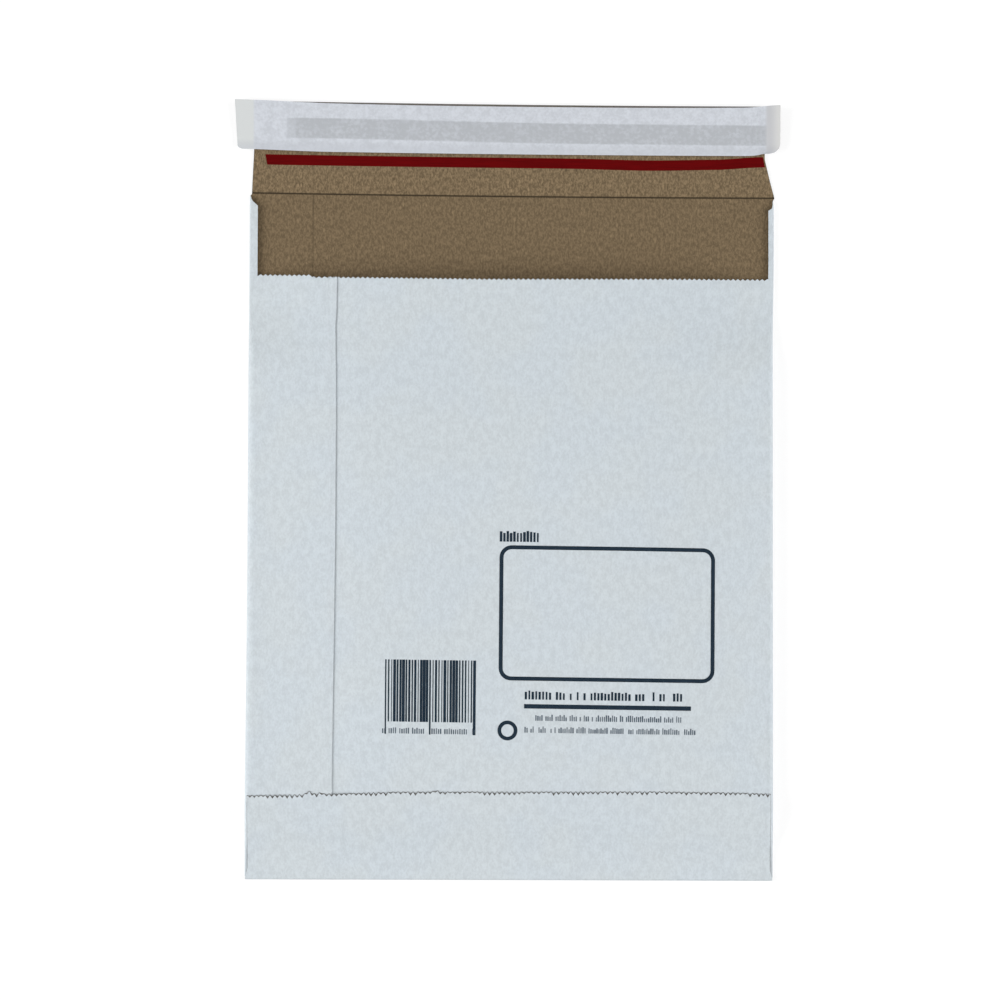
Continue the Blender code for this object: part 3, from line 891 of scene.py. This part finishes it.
def flecks_group():
    """Small specks of other fibre, as a mask."""
    inputs = {"Vector": "Vector", "Scale": 400.0, "Share": 0.1, "Size": 0.25, "Stretch": 1.0}
    tree, given, end = new_tree("Flecks", inputs, "Mask")
    x, y, z = separate(tree, given["Vector"])
    along = combine(tree, x, y / given["Stretch"], z)
    cells = place_node(tree, "ShaderNodeTexVoronoi", Vector=along, Scale=given["Scale"])
    near = Field(tree, cells.outputs["Distance"])
    draw = separate(tree, cells.outputs["Color"])[0]
    spot = 1 - near.ramp(given["Size"] * 0.5, given["Size"])
    plug(tree, spot * draw.math("LESS_THAN", given["Share"]), end.inputs["Mask"])
    return tree


def line_mark_group():
    """A soft straight line where a coordinate passes a place, as a mask."""
    inputs = {"Coordinate": 0.0, "Place": 0.0, "Half Width": 0.0005}
    tree, given, end = new_tree("Line mark", inputs, "Mask")
    away = given["Coordinate"] - given["Place"]
    mark = (away.size() / given["Half Width"]).ramp(0.0, 1.0, 1.0, 0.0)
    plug(tree, mark, end.inputs["Mask"])
    return tree


GROUPS = {}


def effect(tree, build, **inputs):
    """Places a shared effect, which is built once, and returns its outputs as fields by name."""
    if build not in GROUPS:
        GROUPS[build] = build()
    node = place_node(tree, "ShaderNodeGroup", {"node_tree": GROUPS[build]}, **inputs)
    return {socket.name: Field(tree, socket) for socket in node.outputs}


def line_mark(tree, coordinate, place, half):
    inputs = {"Coordinate": coordinate, "Place": place, "Half_Width": half}
    return effect(tree, line_mark_group, **inputs)["Mask"]


def noise(tree, vector, scale, **inputs):
    node = place_node(tree, "ShaderNodeTexNoise", Vector=vector, Scale=scale, **inputs)
    return Field(tree, node.outputs[0])


def between(coordinate, low, high, edge):
    """1 where a coordinate lies within soft limits, and 0 outside them."""
    past_low = coordinate.ramp(low - edge, low + edge)
    return past_low * coordinate.ramp(high - edge, high + edge, 1.0, 0.0)


def blend_colours(tree, factor, first, second):
    """The first colour at factor 0, and the second at 1."""
    node = tree.nodes.new("ShaderNodeMix")
    node.data_type = "RGBA"
    for slot, item in ((0, factor), (6, first), (7, second)):
        value = (*item, 1.0) if isinstance(item, (tuple, list)) else item
        plug(tree, value, node.inputs[slot])
    return node.outputs[2]


def graded(tree, tone, colour, dark, light):
    """A colour made darker at tone 0 and lighter at tone 1."""
    return blend_colours(tree, tone, shaded(colour, dark), shaded(colour, light))


def scaled(tree, colour, factor):
    node = place_node(
        tree, "ShaderNodeVectorMath", {"operation": "SCALE"}, Vector=colour, Scale=factor
    )
    return node.outputs[0]


def new_finish(name, key, roughness, specular=0.5):
    """A material, its tree and its colour. What is the same all over stands on its shader."""
    colour = tuple(getattr(bpy.context.scene.mailer_colours, key))
    finish = bpy.data.materials.new(name)
    finish.use_nodes = True
    finish.diffuse_color = (*colour, 1)
    shader = finish.node_tree.nodes["Principled BSDF"]
    shader.inputs["Roughness"].default_value = roughness
    shader.inputs["Specular IOR Level"].default_value = specular
    return finish, finish.node_tree, colour


def finish_surface(finish, colour, height, depth, roughness=None):
    """Links a colour and a bump of that real depth to the shader."""
    tree = finish.node_tree
    shader = tree.nodes["Principled BSDF"]
    tree.links.new(colour, shader.inputs["Base Color"])
    bump = place_node(tree, "ShaderNodeBump", Height=height, Distance=depth)
    tree.links.new(bump.outputs[0], shader.inputs["Normal"])
    if roughness is not None:
        plug(tree, roughness, shader.inputs["Roughness"])
    return finish


def sheet_place(tree):
    """Girth and length on the sheet, from the piece's own UV map."""
    node = place_node(tree, "ShaderNodeUVMap", {"uv_map": "sheet"})
    return node.outputs[0], *separate(tree, node.outputs[0])[:2]


def object_place(tree):
    socket = tree.nodes.new("ShaderNodeTexCoord").outputs["Object"]
    return socket, *separate(tree, socket)


def near_left(x):
    """The girth of a place on the near panel left of the seam."""
    return -(2 * PANEL + ROLL + x)


# Lines embossed beside the seam: places, half widths and depths. The depths also set how much
# painted shade darkens the lines
SEAM_LINES = ((-0.0011, 0.0005, -0.5), (-0.0022, 0.0006, 0.5))
# Grey painted along the kraft ply's cut edges: painted shadow at the edges and in the gaps beside
# them
EDGE_SHADOW_GREY = srgb(100, 99, 97)


def white_paper():
    """Matt white paper with cloudy pulp, embossed beside the seam, with painted shade along the
    embossed lines.
    """
    finish, tree, white = new_finish("white mailer paper", "white", 0.72, 0.2)
    vector, s, v = sheet_place(tree)
    fibre = effect(tree, paper_fibre_group, Vector=vector, Grain=1300.0, Cloud=420.0, Stretch=1.6)
    flecks = effect(tree, flecks_group, Vector=vector, Scale=300.0, Share=0.03, Size=0.12)
    warm = noise(tree, vector, 38.0).ramp(0.38, 0.62)
    cool = tinted(white, 0.995, 1.0, 1.008)
    colour = blend_colours(tree, warm, cool, tinted(white, 1.005, 1.001, 0.993))
    low, high = 0.935, 1.065
    colour = scaled(tree, colour, fibre["Shade"].ramp(0.36, 0.64) * (high - low) + low)
    colour = blend_colours(tree, flecks["Mask"] * 0.12, colour, shaded(white, 0.7))
    emboss_and_painted_shade = sum(
        line_mark(tree, s, near_left(SEAM_X + place), half) * depth
        for place, half, depth in SEAM_LINES
    )
    # Painted shade: the embossed lines are darkened in colour, where light would shade them
    colour = blend_colours(tree, emboss_and_painted_shade.size() * 0.10, colour, shaded(white, 0.8))
    return finish_surface(finish, colour, fibre["Height"] + emboss_and_painted_shade, 0.00010)


def brown_kraft():
    """Brown kraft with a vertical grain, dark and light flecks, and marks of folding. Shade is
    painted below the crease, in the crease, along the imprint and along the cut edges.
    """
    finish, tree, brown = new_finish("brown kraft paper", "kraft", 0.82, 0.1)
    vector, s, v = sheet_place(tree)
    fibre = effect(tree, paper_fibre_group, Vector=vector, Grain=2400.0, Cloud=1100.0, Stretch=2.2)
    colour = graded(tree, fibre["Shade"].ramp(0.40, 0.60), brown, 0.68, 1.33)
    for scale, share, size, stretch, factor in (
        (950.0, 0.18, 0.42, 1.9, 0.45),
        (850.0, 0.12, 0.38, 2.2, 1.85),
    ):
        inputs = {"Scale": scale, "Share": share, "Size": size, "Stretch": stretch}
        flecks = effect(tree, flecks_group, Vector=vector, **inputs)
        colour = blend_colours(tree, flecks["Mask"] * 0.5, colour, shaded(brown, factor))
    # Painted shade: the kraft inside the envelope, below the crease, is darkened where the near
    # panel over the mouth shades it
    below = v.ramp(CREASE - 0.002, CREASE + 0.002, 0.30, 0.0)
    colour = blend_colours(tree, below, colour, shaded(brown, 0.72))
    crease_dent_and_shade = line_mark(tree, v, CREASE, 0.0006)
    imprint_and_shade = line_mark(tree, s, UNDERLAP_X, 0.0005) * v.ramp(CREASE - 0.0015, CREASE, 1.0, 0.0)
    rim = place_node(tree, "ShaderNodeAttribute", {"attribute_name": "rim"})
    rim = Field(tree, rim.outputs["Fac"])
    # Painted shade: the crease is darkened in colour, as its valley would be shaded; the bump
    # gives its dent
    colour = blend_colours(tree, crease_dent_and_shade, colour, shaded(brown, 0.16))
    # Painted shade: the imprint line is darkened in colour, as its groove would be shaded; the
    # bump gives its dent
    colour = blend_colours(tree, imprint_and_shade * 0.5, colour, shaded(brown, 0.4))
    # Painted shadow: the kraft's cut edges are darkened to grey
    colour = blend_colours(tree, rim.ramp(0.15, 0.5) * 0.85, colour, EDGE_SHADOW_GREY)
    height = fibre["Height"] + (crease_dent_and_shade + imprint_and_shade * 0.5) * -1.0
    return finish_surface(finish, colour, height, 0.00008)


# Strips on the flap: places along it, widths and ends
TEAR_Y = 0.1542
TEAR_WIDTH = 0.0042
ADHESIVE_Y = 0.1664
ADHESIVE_WIDTH = 0.0082
ADHESIVE_FILM = 0.00012
ADHESIVE_ENDS = (-0.0923, 0.1053)
ADHESIVE_RISE = 0.0013
ADHESIVE_RUN = 0.125
RELEASE_Y = 0.1678
RELEASE_WIDTH = 0.0203
STRIP_FILM = 0.00008
FLAP_HALF = 0.1052
RIGHT_RIM = (0.1062, 0.1104)
LEFT_END = srgb(213, 216, 216)
# Painted shade on the curled right end past the flap
CURLED_END_SHADE = srgb(197, 198, 201)
# Painted highlight on the rim of the curled right end, at the places RIGHT_RIM gives
CURL_HIGHLIGHT = srgb(214, 214, 213)
CURL_STREAKS = ((0.0965, 0.0006), (0.0990, 0.0005), (0.1012, 0.0006), (0.1035, 0.0005))
BAND_EDGE = 0.0004


def release_paper():
    """Coated strip paper. The adhesive shows through it as a darker band. Shade is painted on its
    lifted lower margin and its curled right end, and a highlight on the curl's rim.
    """
    finish, tree, silicone = new_finish("release paper", "release", 0.62, 0.2)
    vector, x, y, z = object_place(tree)
    fibre = effect(tree, paper_fibre_group, Vector=vector, Grain=900.0, Cloud=300.0)
    colour = graded(tree, fibre["Shade"].ramp(0.36, 0.64), silicone, 0.925, 1.075)
    left, right = ADHESIVE_ENDS
    at_left = ((left + ADHESIVE_RUN - x) / ADHESIVE_RUN).ramp()
    level = y + x * (CUT_SKEW / WIDTH) - at_left * ADHESIVE_RISE
    half = ADHESIVE_WIDTH / 2
    band = between(level, ADHESIVE_Y - half, ADHESIVE_Y + half, BAND_EDGE)
    show = noise(tree, vector, 160.0).ramp(0.35, 0.65, 0.78, 1.0)
    show = show + noise(tree, vector, 750.0).ramp(0.35, 0.65, -0.2, 0.2)
    show = show * x.ramp(left + 0.0032, left + 0.0042, 0.55, 1.0)
    show = band * between(x, left, right, BAND_EDGE) * show
    colour = blend_colours(tree, show, colour, tinted(silicone, 0.745, 0.745, 0.735))
    past_left = x.ramp(-FLAP_HALF - 0.0013, -FLAP_HALF - 0.0002, 1.0, 0.0)
    colour = blend_colours(tree, past_left, colour, LEFT_END)
    # Painted shade: the curled right end past the flap is darkened
    past_right = x.ramp(FLAP_HALF - 0.0012, FLAP_HALF + 0.0006)
    colour = blend_colours(tree, past_right, colour, CURLED_END_SHADE)
    # Painted highlight along the rim of the curl
    colour = blend_colours(tree, x.ramp(*RIGHT_RIM), colour, CURL_HIGHLIGHT)
    # Painted shade: the lifted lower margin is darkened in colour
    low = level.ramp(RELEASE_Y - 0.0100, RELEASE_Y - 0.0055, 0.55, 0.0)
    colour = blend_colours(tree, low, colour, shaded(silicone, 0.93))
    streaks = sum(line_mark(tree, x, place, half) for place, half in CURL_STREAKS)
    return finish_surface(finish, colour, fibre["Height"] + streaks * 0.8, 0.00008)


def red_film():
    """Satin red film with faint draw lines along it."""
    finish, tree, red = new_finish("red tear film", "film", 0.5, 0.05)
    vector, x, y, z = object_place(tree)
    tone = noise(tree, combine(tree, x * 0.04, y, z), 2600.0)
    colour = graded(tree, tone.ramp(0.3, 0.7), red, 0.85, 1.15)
    return finish_surface(finish, colour, tone, 0.00003, tone.ramp(0.3, 0.7, 0.44, 0.56))


def hot_glue():
    """Clear, slightly amber adhesive with an uneven skin."""
    finish, tree, amber = new_finish("clear adhesive", "glue", 0.30)
    vector, x, y, z = object_place(tree)
    tone = noise(tree, vector, 420.0)
    colour = graded(tree, tone.ramp(0.3, 0.7), amber, 0.9, 1.08)
    return finish_surface(finish, colour, tone, 0.00006, tone.ramp(0.3, 0.7, 0.22, 0.38))


def shredded_paper():
    """Grey-brown pulp of shredded paper, with specks of print and card in it."""
    finish, tree, pulp = new_finish("shredded paper padding", "padding", 0.95, 0.1)
    vector, s, v = sheet_place(tree)
    fibre = effect(tree, paper_fibre_group, Vector=vector, Grain=600.0, Cloud=180.0)
    dark = effect(tree, flecks_group, Vector=vector, Scale=350.0, Share=0.2, Size=0.4)
    colour = graded(tree, fibre["Shade"].ramp(0.3, 0.7), pulp, 0.75, 1.3)
    colour = blend_colours(tree, dark["Mask"] * 0.5, colour, shaded(pulp, 0.4))
    return finish_surface(finish, colour, fibre["Height"], 0.0004)


def printing_ink(name, key):
    """Flat ink that soaks a little unevenly into the paper."""
    finish, tree, ink = new_finish(name, key, 0.6, 0.04)
    vector, x, y, z = object_place(tree)
    fibre = effect(tree, paper_fibre_group, Vector=vector, Grain=1400.0, Cloud=500.0)
    colour = graded(tree, fibre["Shade"].ramp(0.3, 0.7), ink, 0.85, 1.25)
    return finish_surface(finish, colour, fibre["Height"], 0.00002)


# Settings


def length_property(label, what, default, high, precision, low=0.0):
    return FloatProperty(
        name=label,
        description=what,
        default=default,
        min=low,
        max=high,
        unit="LENGTH",
        precision=precision,
    )


def colour_property(label, what, default):
    return FloatVectorProperty(
        name=label, description=what, default=default, min=0.0, max=1.0, size=3, subtype="COLOR"
    )


def power_property(label, what, default):
    return FloatProperty(name=label, description=what, default=default, min=0.0, subtype="POWER")


class MailerSizes(bpy.types.PropertyGroup):
    fullness: length_property(
        "Fullness", "Rise of the near side's middle above its side folds", 0.0061, 0.0062, 4
    )
    waviness: length_property(
        "Waviness", "Depth of the faint dips in the near side over its padding", 0.00022, 0.001, 5
    )
    tooth_depth: length_property(
        "Tooth Depth", "Depth of the saw teeth on the mouth and bottom flap", 0.0007, 0.001, 5
    )
    release_lift: length_property(
        "Release Lift", "How far the peel-off strip's free margin stands up", 0.0006, 0.0009, 4
    )
    ink_film: length_property(
        "Ink Film", "Thickness of the print", 0.00002, 0.0001, 6, low=0.000005
    )
    bar_seed: IntProperty(
        name="Bar Seed", description="Seed of the printed bars' widths", default=16, min=0
    )


class MailerColours(bpy.types.PropertyGroup):
    white: colour_property("White", "Outer ply", srgb(204, 212, 217))
    kraft: colour_property("Kraft", "Inner ply", srgb(123, 105.5, 81))
    release: colour_property("Release Paper", "Peel-off strip", srgb(205, 209, 216))
    film: colour_property("Tear Film", "Red opening strip", srgb(94, 2, 4))
    ink: colour_property("Ink", "Bold print", srgb(35, 48, 60))
    fine_ink: colour_property("Fine Ink", "Fine print, seen as a tint", srgb(84, 95, 106))
    glue: colour_property("Glue", "Adhesive and glue lines", srgb(206, 198, 176))
    padding: colour_property("Padding", "Shredded paper", srgb(158, 154, 147))


class MailerStage(bpy.types.PropertyGroup):
    sky: FloatProperty(
        name="Sky", description="Even light from all round", default=0.285, min=0.0, max=2.0
    )
    front: power_property("Front Lamp", "Power of the low lamp past the bottom flap", 8.0)
    side: power_property("Side Lamps", "Power of the low lamps on the left and right", 39.5)


# Operators


class MAILER_OT_plies(bpy.types.Operator):
    """Fold the white outer ply and the brown inner ply"""

    bl_idname = "mailer.plies"
    bl_label = "Plies"

    def execute(self, context):
        outer = closed_sheet("white_outer_ply", ply_blank(), outer_depths, white_paper())
        mount(outer, "white_paper", "outer_wrap")
        blank = ply_blank(KRAFT_SHOW)
        inner = closed_sheet("brown_inner_ply", blank, inner_depths, brown_kraft())
        mount(inner, "brown_kraft", "inner_liner")
        return {"FINISHED"}


class MAILER_OT_padding(bpy.types.Operator):
    """Bend the sheet of shredded paper between the plies"""

    bl_idname = "mailer.padding"
    bl_label = "Padding"

    def execute(self, context):
        inset = BARE_SEAM + PADDING_EDGE * THIN_WIDTH
        girths, lengths = blank_girths(), blank_lengths()
        first = -LENGTH / 2 + BOTTOM_MARGIN + PADDING_EDGE * THIN_BOTTOM
        last = MOUTH - MOUTH_MARGIN - PADDING_STOP
        girths = girths[(girths > LEFT_EDGE + inset) & (girths < RIGHT_EDGE - inset)]
        blank = plain_blank(girths, lengths[(lengths > first) & (lengths < last)])
        sheet = closed_sheet("padding_sheet", blank, padding_depths, shredded_paper())
        mount(sheet, "shredded_paper", "padding")
        return {"FINISHED"}


class MAILER_OT_glue(bpy.types.Operator):
    """Lay the glue lines under the seam and under the bottom flap"""

    bl_idname = "mailer.glue"
    bl_label = "Glue Lines"

    def execute(self, context):
        glue = hot_glue()
        lengths = blank_lengths()
        in_tube = (lengths > NEAR_END + BOTTOM_MARGIN / 2) & (lengths < MOUTH - MOUTH_MARGIN / 2)
        middle = 2 * PANEL + ROLL - (SEAM_X - SEAM_LAP / 2)
        half = SEAM_GLUE_WIDTH / 2
        girths = stretches((middle - half, middle + half, TOOTH_PITCH / 2))
        blank = plain_blank(girths, lengths[in_tube])
        seam = closed_sheet("seam_glue_line", blank, seam_glue_depths, glue)
        mount(seam, "clear_glue", "seam_glue")
        girths = blank_girths()
        girths = girths[np.abs(girths) < PANEL - BOTTOM_GLUE_INSET]
        edge = TAIL + BOTTOM_GLUE_INSET
        blank = plain_blank(girths, stretches((edge, edge + BOTTOM_GLUE_LENGTH, GLUE_STEP)))
        flap = closed_sheet("bottom_glue_band", blank, bottom_glue_depths, glue)
        mount(flap, "clear_glue", "bottom_flap_glue")
        return {"FINISHED"}


# Strips: piece, CAD node, slot, finish, what its length loses, its shift to the right, and inputs
STRIPS = (
    ("red_tear_strip", "tear_strip", "red_film", red_film, 0.0, 0.0, {
        "Width": TEAR_WIDTH, "Thickness": STRIP_FILM, "Columns": 121, "Rows": 4,
        "Middle Y": TEAR_Y, "Height": PLAIN_STACK + GAP,
        "Left Slant": -0.0008, "Right Slant": -0.0008, "Right Rise": 0.0010, "Right Run": 0.020,
        "Dip": 0.0006, "Dip X": 0.057, "Dip Half": 0.022,
    }),
    ("closing_adhesive", "adhesive_strip", "clear_glue", hot_glue, 0.0, 0.0, {
        "Width": ADHESIVE_WIDTH, "Thickness": ADHESIVE_FILM, "Columns": 81, "Rows": 5,
        "Middle Y": ADHESIVE_Y, "Height": PLAIN_STACK + GAP,
        "Left Rise": ADHESIVE_RISE, "Left Run": ADHESIVE_RUN,
    }),
    ("peel_off_strip", "release_strip", "release_paper", release_paper, 0.0008, 0.00036, {
        "Width": RELEASE_WIDTH, "Thickness": STRIP_FILM, "Columns": 225, "Rows": 42,
        "Middle Y": RELEASE_Y, "Height": PLAIN_STACK + 2 * GAP + ADHESIVE_FILM,
        "Left Slant": -0.0012, "Left Rise": 0.00065, "Left Run": 0.040,
        "Right Rise": 0.0008, "Right Run": 0.015,
        "Top Sag": 0.0007, "Dip X": 0.0113, "Dip Half": 0.094,
        "Corner": 0.0018, "Corner End": 0.0046, "Curl Length": 0.012, "Curl Lift": 0.0012,
        "Free From": ADHESIVE_Y - ADHESIVE_WIDTH / 2,
    }),
)


class MAILER_OT_strips(bpy.types.Operator):
    """Lay the tear strip, the adhesive and the peel-off strip on the flap"""

    bl_idname = "mailer.strips"
    bl_label = "Strips on the Flap"

    def execute(self, context):
        tree = flap_strip_tree()
        for name, node, slot, finish, loss, shift, inputs in STRIPS:
            low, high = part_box(node)
            values = {
                **inputs,
                "Length": high.x - low.x - loss,
                "Middle X": (low.x + high.x) / 2 + shift,
                "Material": finish(),
            }
            if "Free From" in inputs:
                values["Free Lift"] = context.scene.mailer_sizes.release_lift
            mount(grown_piece(name, tree, values), slot, node)
        return {"FINISHED"}


# Print on the near side
PRINT_TURN = -0.0122
PRINT_LEAN = -0.0055
PRINT_GAP = 0.00004
BAR_POWER = 1.3
LONG_EVERY = 15
LONG_BY = 0.0051
ROW_STEP = 0.0025
LINE_INPUTS = ("Middle X", "Middle Y", "Width", "Height", "Corner", "Line")
PRINTED_LINES = (
    ("printed_frame", 0.03955, -0.03155, 0.0862, 0.0533, 0.0042, 0.0016),
    ("printed_ring", -0.00085, -0.07885, 0.0066, 0.0066, 0.0033, 0.0015),
)
ROW_INPUTS = (
    "Left", "Top", "Length", "Height", "Count", "Narrow", "Wide", "Lowest", "Kept", "Seed"
)
PRINTED_ROWS = (
    ("printed_rule", 0.0059, -0.0685, 0.0678, 0.0018, 24, 1.02, 1.02, 1.0, 2.0, 0),
    ("printed_bars", -0.0510, -0.0503, 0.0373, 0.0252, 31, 0.20, 1.05, 1.0, 2.0, 0),
    ("printed_fine_bar_foot", -0.0520, -0.0779, 0.0384, 0.0024, 44, 0.40, 0.62, 0.75, 0.80, 7),
    ("printed_heading", -0.0043, 0.0023, 0.0163, 0.0045, 12, 0.45, 0.80, 0.75, 2.0, 3),
    ("printed_bold_line", 0.0059, -0.0630, 0.0673, 0.0036, 48, 0.45, 0.75, 0.70, 0.84, 4),
    ("printed_fine_line_a", 0.0103, -0.0726, 0.0605, 0.0026, 74, 0.40, 0.68, 0.55, 0.80, 5),
    ("printed_fine_line_b", 0.0059, -0.0775, 0.0698, 0.0026, 86, 0.40, 0.68, 0.55, 0.82, 6),
)


class MAILER_OT_print(bpy.types.Operator):
    """Print the frame, the ring, the bars and the rows of strokes on the near side"""

    bl_idname = "mailer.print"
    bl_label = "Print"

    def execute(self, context):
        sizes = context.scene.mailer_sizes
        bold = printing_ink("dark printing ink", "ink")
        fine = printing_ink("fine printing ink", "fine_ink")
        shared = {
            "Film": sizes.ink_film,
            "Film Gap": PRINT_GAP,
            "Turn": PRINT_TURN,
            "Lean": PRINT_LEAN,
            "Paper": bpy.data.objects["white_outer_ply"],
        }
        lines, rows = print_frame_tree(), print_row_tree()
        made = []
        for name, *numbers in PRINTED_LINES:
            values = {**shared, **dict(zip(LINE_INPUTS, numbers)), "Material": bold}
            values["Pivot X"], values["Pivot Y"] = values["Middle X"], values["Middle Y"]
            made.append(grown_piece(name, lines, values))
        for name, *numbers in PRINTED_ROWS:
            values = {**shared, **dict(zip(ROW_INPUTS, numbers))}
            values["Material"] = fine if "fine" in name else bold
            values["Pivot X"] = values["Left"] + values["Length"] / 2
            values["Pivot Y"] = values["Top"] - values["Height"] / 2
            values["Rows"] = 2 + int(values["Height"] / ROW_STEP)
            if name == "printed_bars":
                values["Width Power"] = BAR_POWER
                values["Long Every"] = LONG_EVERY
                values["Long By"] = LONG_BY
                values["Seed"] = sizes.bar_seed
            made.append(grown_piece(name, rows, values))
        for piece in made:
            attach(piece, "root")
        return {"FINISHED"}


# Stage
FLOOR_HALF = 5.0
FLOOR_LEVEL = -0.0002
FLOOR_SEEN = 0.35
FLOOR_GLOW = 0.72
FLOOR_PLAIN = 0.8
LAMP_SIZE = 1.6
SIDE_LAMP = (2.1, 0.0, 1.1)
FRONT_LAMP = (0.0, -1.8, 1.5)
LEFT_SHARE = 1.14
RIGHT_SHARE = 0.96


class MAILER_OT_stage(bpy.types.Operator):
    """Set the pale floor, the soft lamps and the camera over the envelope"""

    bl_idname = "mailer.stage"
    bl_label = "Stage"

    def execute(self, context):
        stage = context.scene.mailer_stage
        x, y, z = SIDE_LAMP
        add_floor()
        add_sky(stage.sky)
        add_lamp("left lamp", (-x, y, z), stage.side * LEFT_SHARE)
        add_lamp("right lamp", (x, y, z), stage.side * RIGHT_SHARE)
        add_lamp("front lamp", FRONT_LAMP, stage.front)
        add_camera()
        context.scene.view_settings.view_transform = "Standard"
        return {"FINISHED"}


def seen_directly(tree):
    """1 for rays that show the backdrop itself: to the camera, in gloss and through glass."""
    path = tree.nodes.new("ShaderNodeLightPath")
    seen = Field(tree, path.outputs["Is Camera Ray"])
    for name in ("Is Glossy Ray", "Is Transmission Ray"):
        seen = seen.math("MAXIMUM", Field(tree, path.outputs[name]))
    return seen


def diffuse(tree, grey):
    node = place_node(tree, "ShaderNodeBsdfDiffuse", Color=(grey, grey, grey, 1))
    return node.outputs[0]


def add_floor():
    """A pale floor that is white to the camera and keeps a soft shadow of the object."""
    mesh = bpy.data.meshes.new("floor")
    sides = ((-1, -1), (1, -1), (1, 1), (-1, 1))
    corners = [(x * FLOOR_HALF, y * FLOOR_HALF, FLOOR_LEVEL) for x, y in sides]
    mesh.from_pydata(corners, [], [(0, 1, 2, 3)])
    finish = bpy.data.materials.new("pale floor")
    finish.use_nodes = True
    tree = finish.node_tree
    tree.nodes.clear()
    glow = place_node(tree, "ShaderNodeEmission", Strength=FLOOR_GLOW)
    seen = tree.nodes.new("ShaderNodeAddShader")
    plug_all(tree, (diffuse(tree, FLOOR_SEEN), glow.outputs[0]), seen)
    choose = tree.nodes.new("ShaderNodeMixShader")
    plain = diffuse(tree, FLOOR_PLAIN)
    plug_all(tree, (seen_directly(tree), plain, seen.outputs[0]), choose)
    place_node(tree, "ShaderNodeOutputMaterial", Surface=choose.outputs[0])
    mesh.materials.append(finish)
    add_object("floor", mesh)


def add_sky(strength):
    """Even light, and a white background where the camera sees past the floor."""
    world = bpy.data.worlds.new("studio")
    world.use_nodes = True
    bpy.context.scene.world = world
    tree = world.node_tree
    light = tree.nodes["Background"]
    light.inputs["Color"].default_value = (1, 1, 1, 1)
    plug(tree, seen_directly(tree) * (1 - strength) + strength, light.inputs["Strength"])


def add_lamp(name, place, power):
    """A round, soft lamp that is turned to the envelope."""
    data = bpy.data.lights.new(name, "AREA")
    data.shape = "DISK"
    data.size = LAMP_SIZE
    data.energy = power
    lamp = add_object(name, data)
    lamp.location = place
    x, y, z = place
    lamp.rotation_euler = (math.atan2(math.hypot(x, y), z), 0, math.atan2(x, -y))


def add_camera():
    data = bpy.data.cameras.new("camera")
    data.sensor_width = SENSOR
    data.lens = CAMERA_LENS
    data.clip_end = CAMERA_REACH
    camera = add_object("camera", data)
    camera.location = CAMERA_PLACE
    camera.rotation_euler = CAMERA_TURN
    bpy.context.scene.camera = camera


class VIEW3D_PT_mailer(bpy.types.Panel):
    """Buttons and settings of the mailer"""

    bl_label = "Padded Paper Mailer"
    bl_space_type = "VIEW_3D"
    bl_region_type = "UI"
    bl_category = "Mailer"

    def draw(self, context):
        for name in SETTINGS:
            box = self.layout.box()
            settings = getattr(context.scene, name)
            for field in settings.__annotations__:
                box.prop(settings, field)
        for operator in OPERATORS:
            self.layout.operator(operator.bl_idname)


OPERATORS = (
    MAILER_OT_plies,
    MAILER_OT_padding,
    MAILER_OT_glue,
    MAILER_OT_strips,
    MAILER_OT_print,
    MAILER_OT_stage,
)
SETTINGS = {
    "mailer_sizes": MailerSizes,
    "mailer_colours": MailerColours,
    "mailer_stage": MailerStage,
}
CLASSES = (*SETTINGS.values(), *OPERATORS, VIEW3D_PT_mailer)


def register():
    for made in CLASSES:
        bpy.utils.register_class(made)
    for name, group in SETTINGS.items():
        setattr(bpy.types.Scene, name, PointerProperty(type=group))


def unregister():
    for name in SETTINGS:
        delattr(bpy.types.Scene, name)
    for made in reversed(CLASSES):
        bpy.utils.unregister_class(made)


def main():
    register()
    bpy.ops.mailer.plies()
    bpy.ops.mailer.padding()
    bpy.ops.mailer.glue()
    bpy.ops.mailer.strips()
    bpy.ops.mailer.print()
    bpy.ops.mailer.stage()


if __name__ == "__main__":
    main()
